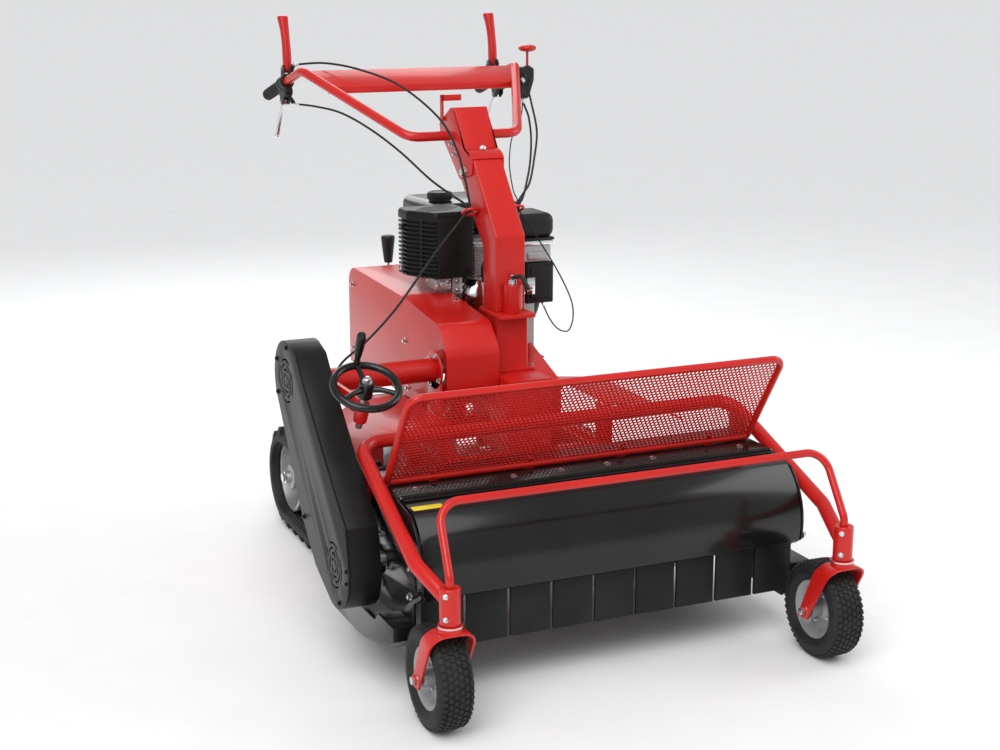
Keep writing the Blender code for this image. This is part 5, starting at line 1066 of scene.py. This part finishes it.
piece("airCleanerCover", [block((0.110, 0.230), (0.975, 1.105), (0.8640, 0.930))], "blackPlastic", "root", bevel=0.022,
      steps=7, replacing=["air_filter"], sharp=60)
piece("airCleanerBase", [block((0.1115, 0.2285), (0.9765, 1.1035), (0.8585, 0.8660))], "blackPlastic", "root",
      bevel=0.003)
piece("airCleanerBand", [block((0.116, 0.226), (0.980, 1.092), (0.8460, 0.8585))], "chromePlate", "root", bevel=0.002,
      steps=3)
piece("intakeBody",
      [block((0.122, 0.222), (0.984, 1.080), (0.8000, 0.8470)), block((0.150, 0.214), (0.978, 0.990), (0.806, 0.828))],
      "castAlloy", "root", bevel=0.006, steps=4)
piece("controlBox",
      [block((0.150, 0.230), (0.985, 1.070), (0.688, 0.7985)), block((0.160, 0.222), (0.981, 0.990), (0.700, 0.788))],
      "blackPlastic", "root", bevel=0.007, steps=5)
piece("chokeLinkage",
      [rod((0.1495, 1.000, 0.745), (0.136, 0.990, 0.752), 0.0038, 16),
       rod((0.151, 0.990, 0.722), (0.138, 0.984, 0.716), 0.0050, 16),
                       block((0.150, 0.172), (0.9780, 0.9815), (0.715, 0.760)),
       rod((0.161, 0.972, 0.738), (0.161, 0.982, 0.738), 0.0075, 20)],
      "chromePlate", "root", bevel=0.0008)
x0, x1 = engine["x"]
recoil = {"y": 1.200, "z": 0.700, "bolts": 0.108, "vents": 24, "ventIn": 0.072, "ventOut": 0.100}
finShapes = [slab([(p.x, p.y)
                   for p in rounded([(0.000, 1.000, 0), (0.165, 1.000, 0), (0.165, 1.150, 0), (0.000, 1.150, 0)],
                                               0.018, 5, closed=True)], "Z", engine["finLow"] + engine["finPitch"] * k,
                  engine["finLow"] + engine["fin"] + engine["finPitch"] * k)
             for k in range(engine["fins"])]
piece("engineBarrel", [block((0.010, 0.155), (1.010, 1.140), (0.680, 0.856)), *finShapes], "castAlloy", "root",
      bevel=0.0010, replacing=["engine_block"])
piece("crankcase", [block((x0, x1), (1.040, 1.360), (engine["plate"] + 0.0003, 0.745)),
                    block((x0 + 0.010, x1 - 0.010), (1.060, 1.340), (0.740, 0.860)),
                    block((x0 - 0.004, x0 + 0.004), (1.070, 1.330), (0.550, 0.735))], "castAlloy", "root", bevel=0.012,
      steps=5)
piece("fanShroud",
      [slab([(p.x, p.y) for p in rounded([(1.060, 0.560, 0), (1.345, 0.560, 0), (1.345, 0.830, 0), (1.060, 0.850, 0)],
                                                      [0.05, 0.05, 0.10, 0.06], 10, closed=True)], "X", 0.176, 0.206)],
      "blackGloss", "root", bevel=0.008, steps=4)
vents = [slab([(recoil["y"] + r * math.cos(a + d), recoil["z"] + r * math.sin(a + d)) for r, d in
               ((recoil["ventIn"], -0.045), (recoil["ventOut"], -0.035), (recoil["ventOut"], 0.035),
                (recoil["ventIn"], 0.045))], "X", 0.232, 0.252) for a in
         (tau * k / recoil["vents"] for k in range(recoil["vents"]))]
piece("recoilCover",
      [lathe([(0.112, 0), (0.116, 0.002), (0.114, 0.028), (0.106, 0.038), (0.068, 0.052), (0.030, 0.056), (0.0, 0.056)],
                            (0.2055, recoil["y"], recoil["z"]), (1, 0, 0), 64)], "blackPlastic", "root", cuts=vents)
piece("recoilHandle",
      [lathe([(0.006, 0), (0.009, 0.003), (0.010, 0.012), (0.008, 0.018)], (0.236, 1.112, 0.782), unit(0.4, -0.5, 0.6),
             20)], "blackPlastic")
grown("recoilBolts",
      [((0.2085, recoil["y"] + recoil["bolts"] * math.cos(a), recoil["z"] + recoil["bolts"] * math.sin(a)),
                        (1, 0, 0)) for a in
                      (tau * k / 4 + 0.785 for k in range(4))], "bolts", "zincBolt", "root",
      {"Head": 0.005, "Height": 0.006, "Washer": 0.007})
dome = [(0.060 * math.cos(a), 0.034 * math.sin(a)) for a in (math.pi / 2 * k / 12 for k in range(12))]
piece("flywheelDome", [lathe([(0.0600, -0.024), *dome, (0.0, 0.034)], (0.036, 1.012, 0.712), (0, -1, 0), 56)],
      "chromePlate", "root", sharp=60)
piece("exhaustCastings",
      [block((-0.112, -0.066), (0.985, 1.040), (0.7450, 0.7760)),
       block((-0.060, -0.032), (0.990, 1.040), (0.730, 0.7765)),
                          rod((-0.090, 0.984, 0.760), (-0.090, 0.978, 0.760), 0.010, 24),
                          sweep(rounded([(-0.090, 1.010, 0.770), (-0.060, 1.014, 0.754), (-0.020, 1.040, 0.750)], 0.02,
                                        8), 0.012, 20)],
      "castAlloy", "root", bevel=0.004, steps=4)
grown("exhaustNuts",
      [((-0.104, 0.985, 0.755), (0, -1, 0)), ((-0.074, 0.985, 0.766), (0, -1, 0)), ((-0.046, 0.990, 0.742), (0, -1, 0)),
                      ((-0.046, 0.990, 0.764), (0, -1, 0))], "bolts", "zincBolt", "root",
      {"Head": 0.0045, "Height": 0.004, "Washer": 0.006})
piece("throttleRod",
      [sweep(rounded([(0.044, 0.975, 0.806), (0.032, 0.972, 0.760), (0.030, 0.974, 0.690)], [0, 0.03, 0], 8), 0.0032,
             12)], "blackPlastic")
piece("plugLead",
      [sweep(routed([(0.052, 1.000, 0.845), (0.040, 0.985, 0.835), (0.020, 0.978, 0.800), (0.026, 0.990, 0.760)],
                    0.006), 0.0035, 12),
                   lathe([(0.0075, 0), (0.0085, 0.004), (0.0075, 0.026), (0.005, 0.030)], (0.060, 1.012, 0.838),
                         unit(-0.5, -0.75, 0.4), 20)],
      "softRubber")
refined("engine_pulley", "millSteel", bevel=0.001)
print("engine")

# tracks: a belt with two rows of lugs, wheels inside
track = {"in": 0.247, "out": 0.407, "radius": 0.123, "belt": 0.020, "lug": 0.022, "count": 34, "rear": 1.440,
         "front": 0.765, "size": (0.0690, 0.0300, 0.0225), "lugIn": 0.0365}
trackZ = track["radius"] + track["lug"]
span, halfTurn = track["rear"] - track["front"], math.pi * track["radius"]
lap = 2 * (span + halfTurn)


def onTrack(s, height):
    s, reach = s % lap, track["radius"] + height
    if s < span:
        return Vector((0, track["front"] + s, trackZ + reach)), Vector((0, 0, 1)), Vector((0, 1, 0))
    if s < span + halfTurn:
        a = math.pi / 2 - (s - span) / track["radius"]
        out = Vector((0, math.cos(a), math.sin(a)))
        return Vector((0, track["rear"], trackZ)) + out * reach, out, Vector((0, out.z, -out.y))
    if s < 2 * span + halfTurn:
        return Vector((0, track["rear"] - (s - span - halfTurn), trackZ - reach)), Vector((0, 0, -1)), Vector((0, -1,
                                                                                                               0))
    a = -math.pi / 2 - (s - 2 * span - halfTurn) / track["radius"]
    out = Vector((0, math.cos(a), math.sin(a)))
    return Vector((0, track["front"], trackZ)) + out * reach, out, Vector((0, out.z, -out.y))


def racetrack(reach, steps=26):
    return arc((track["rear"], trackZ), reach, 90, -90, steps) + arc((track["front"], trackZ), reach, 270, 90, steps)


def bandLoop(outer, inner, low, high):
    # a closed ring with one outline outside and one inside
    count = len(outer)
    points = [Vector((x, *p)) for x, line in ((low, outer), (high, outer), (high, inner), (low, inner)) for p in line]
    faces = [(k * count + i, k * count + (i + 1) % count, ((k + 1) % 4) * count + (i + 1) % count,
              ((k + 1) % 4) * count + i)
             for k in range(4) for i in range(count)]
    return points, faces


for label, sign in sides:
    near, far = (track["in"], track["out"]) if sign > 0 else (-track["out"], -track["in"])
    outer, inner = racetrack(track["radius"]), racetrack(track["radius"] - track["belt"])
    rails = [bandLoop(racetrack(track["radius"] - 0.018), racetrack(track["radius"] - track["belt"] - 0.0055), x,
                      x + 0.008)
             for x in ((near + far) / 2 - 0.066, (near + far) / 2 + 0.058)]
    piece("trackBelt_" + label, [bandLoop(outer, inner, near, far), *rails], "tyreRubber", "root", bevel=0.002,
          sharp=30, replacing=["rubber_track_" + label])
    lugs, middle = [], (near + far) / 2
    for x, offset in ((near + track["lugIn"], 0.27), (middle, 0.77), (far - track["lugIn"], 0.27)):
        for k in range(track["count"]):
            at, out, way = onTrack(lap * (k + offset) / track["count"], track["lug"] / 2)
            lugs.append((at + Vector((x, 0, 0)), out, way))
    grown("trackLugs_" + label, lugs, "blocks", "tyreRubber", "root", {"Size": track["size"], "Taper": 0.80})
    for y, node in ((track["rear"], "drive_sprocket_"), (track["front"], "track_idler_")):
        refined(node + label, "castAlloy", bevel=0.0016, steps=2)
        bodyName = ("sprocket_" if node.startswith("drive") else "idler_") + label
        bolts = [(Vector((middle + sign * 0.0082, y + 0.060 * math.cos(a), trackZ + 0.060 * math.sin(a))), (sign, 0, 0))
                 for a in (tau * k / 5 + 0.3 for k in range(5))]
        grown("trackWheelBolts_" + bodyName, bolts, "bolts", "zincBolt", bodyName,
              {"Head": 0.0075, "Height": 0.006, "Washer": 0.011})
        hubNut = Vector((middle + sign * (0.069 if node.startswith("drive") else 0.067), y, trackZ))
        grown("trackHubNut_" + bodyName, [(hubNut, (sign, 0, 0))], "bolts", "chromePlate",
              bodyName if node.startswith("drive") else "root", {"Head": 0.014, "Height": 0.006, "Washer": 0.0172})
print("tracks")

# what is still a plain frame node gets its usual finish
usual = {"red_paint": "redPaint", "black_paint": "blackGloss", "black_plastic": "blackPlastic", "rubber": "softRubber",
         "tyre": "tyreRubber", "steel": "millSteel", "chrome": "chromePlate", "grey_paint": "greyRim",
         "cast_alloy": "castAlloy", "red_plastic": "redPlastic"}
for node, obj in frame["nodes"].items():
    if obj.hide_render:
        continue
    slotName = next(part["material_slot"] for part in frame["record"]["subparts"] if part["node"] == node)
    refined(node, usual[slotName])
print("carried-over nodes are dressed")

# floor and light
ground = {"half": 150.0, "drop": 0.0005, "colour": (0.86, 0.86, 0.86), "other": (0.84, 0.84, 0.84)}
half = ground["half"]
sheet = bpy.data.meshes.new("floor")
sheet.from_pydata([(-half, -half, 0), (half, -half, 0), (half, half, 0), (-half, half, 0)], [], [(0, 1, 2, 3)])
floor = bpy.data.objects.new("floor", sheet)
floor.location.z = -ground["drop"]
bpy.context.scene.collection.objects.link(floor)
floor.data.materials.append(surface("paleFloor", ground["colour"], ground["other"], 0.75, grain=20, bump=0.01))

sky = bpy.data.worlds.new("studio")
bpy.context.scene.world = sky
sky.use_nodes = True
sky.node_tree.nodes["Background"].inputs["Color"].default_value = (0.97, 0.98, 1.0, 1.0)
sky.node_tree.nodes["Background"].inputs["Strength"].default_value = 0.50
lamps = [
    {"kind": "SUN", "name": "skylight", "power": 1.5, "size": math.radians(50), "aim": (0.35, 0.5, -1.0)},
    {"kind": "AREA", "name": "frontBox", "power": 60, "size": 2.4, "at": (-2.6, -3.2, 2.9), "aim": (0.55, 0.65, -0.5)},
    {"kind": "AREA", "name": "sideBox", "power": 40, "size": 2.2, "at": (3.4, -1.2, 2.2), "aim": (-0.85, 0.25, -0.45)},
    {"kind": "AREA", "name": "backBox", "power": 55, "size": 3.0, "at": (0.4, 3.6, 3.0), "aim": (-0.1, -0.8, -0.6)},
]
for lamp in lamps:
    data = bpy.data.lights.new(lamp["name"], lamp["kind"])
    data.energy = lamp["power"]
    if lamp["kind"] == "SUN":
        data.angle = lamp["size"]
    else:
        data.size = lamp["size"]
    made = bpy.data.objects.new(lamp["name"], data)
    made.location = lamp.get("at", (0, 0, 4))
    made.rotation_euler = Vector(lamp["aim"]).to_track_quat("-Z", "Y").to_euler()
    bpy.context.scene.collection.objects.link(made)
bpy.context.scene.view_settings.view_transform = "Standard"

print("stage, lights and sizes are done")
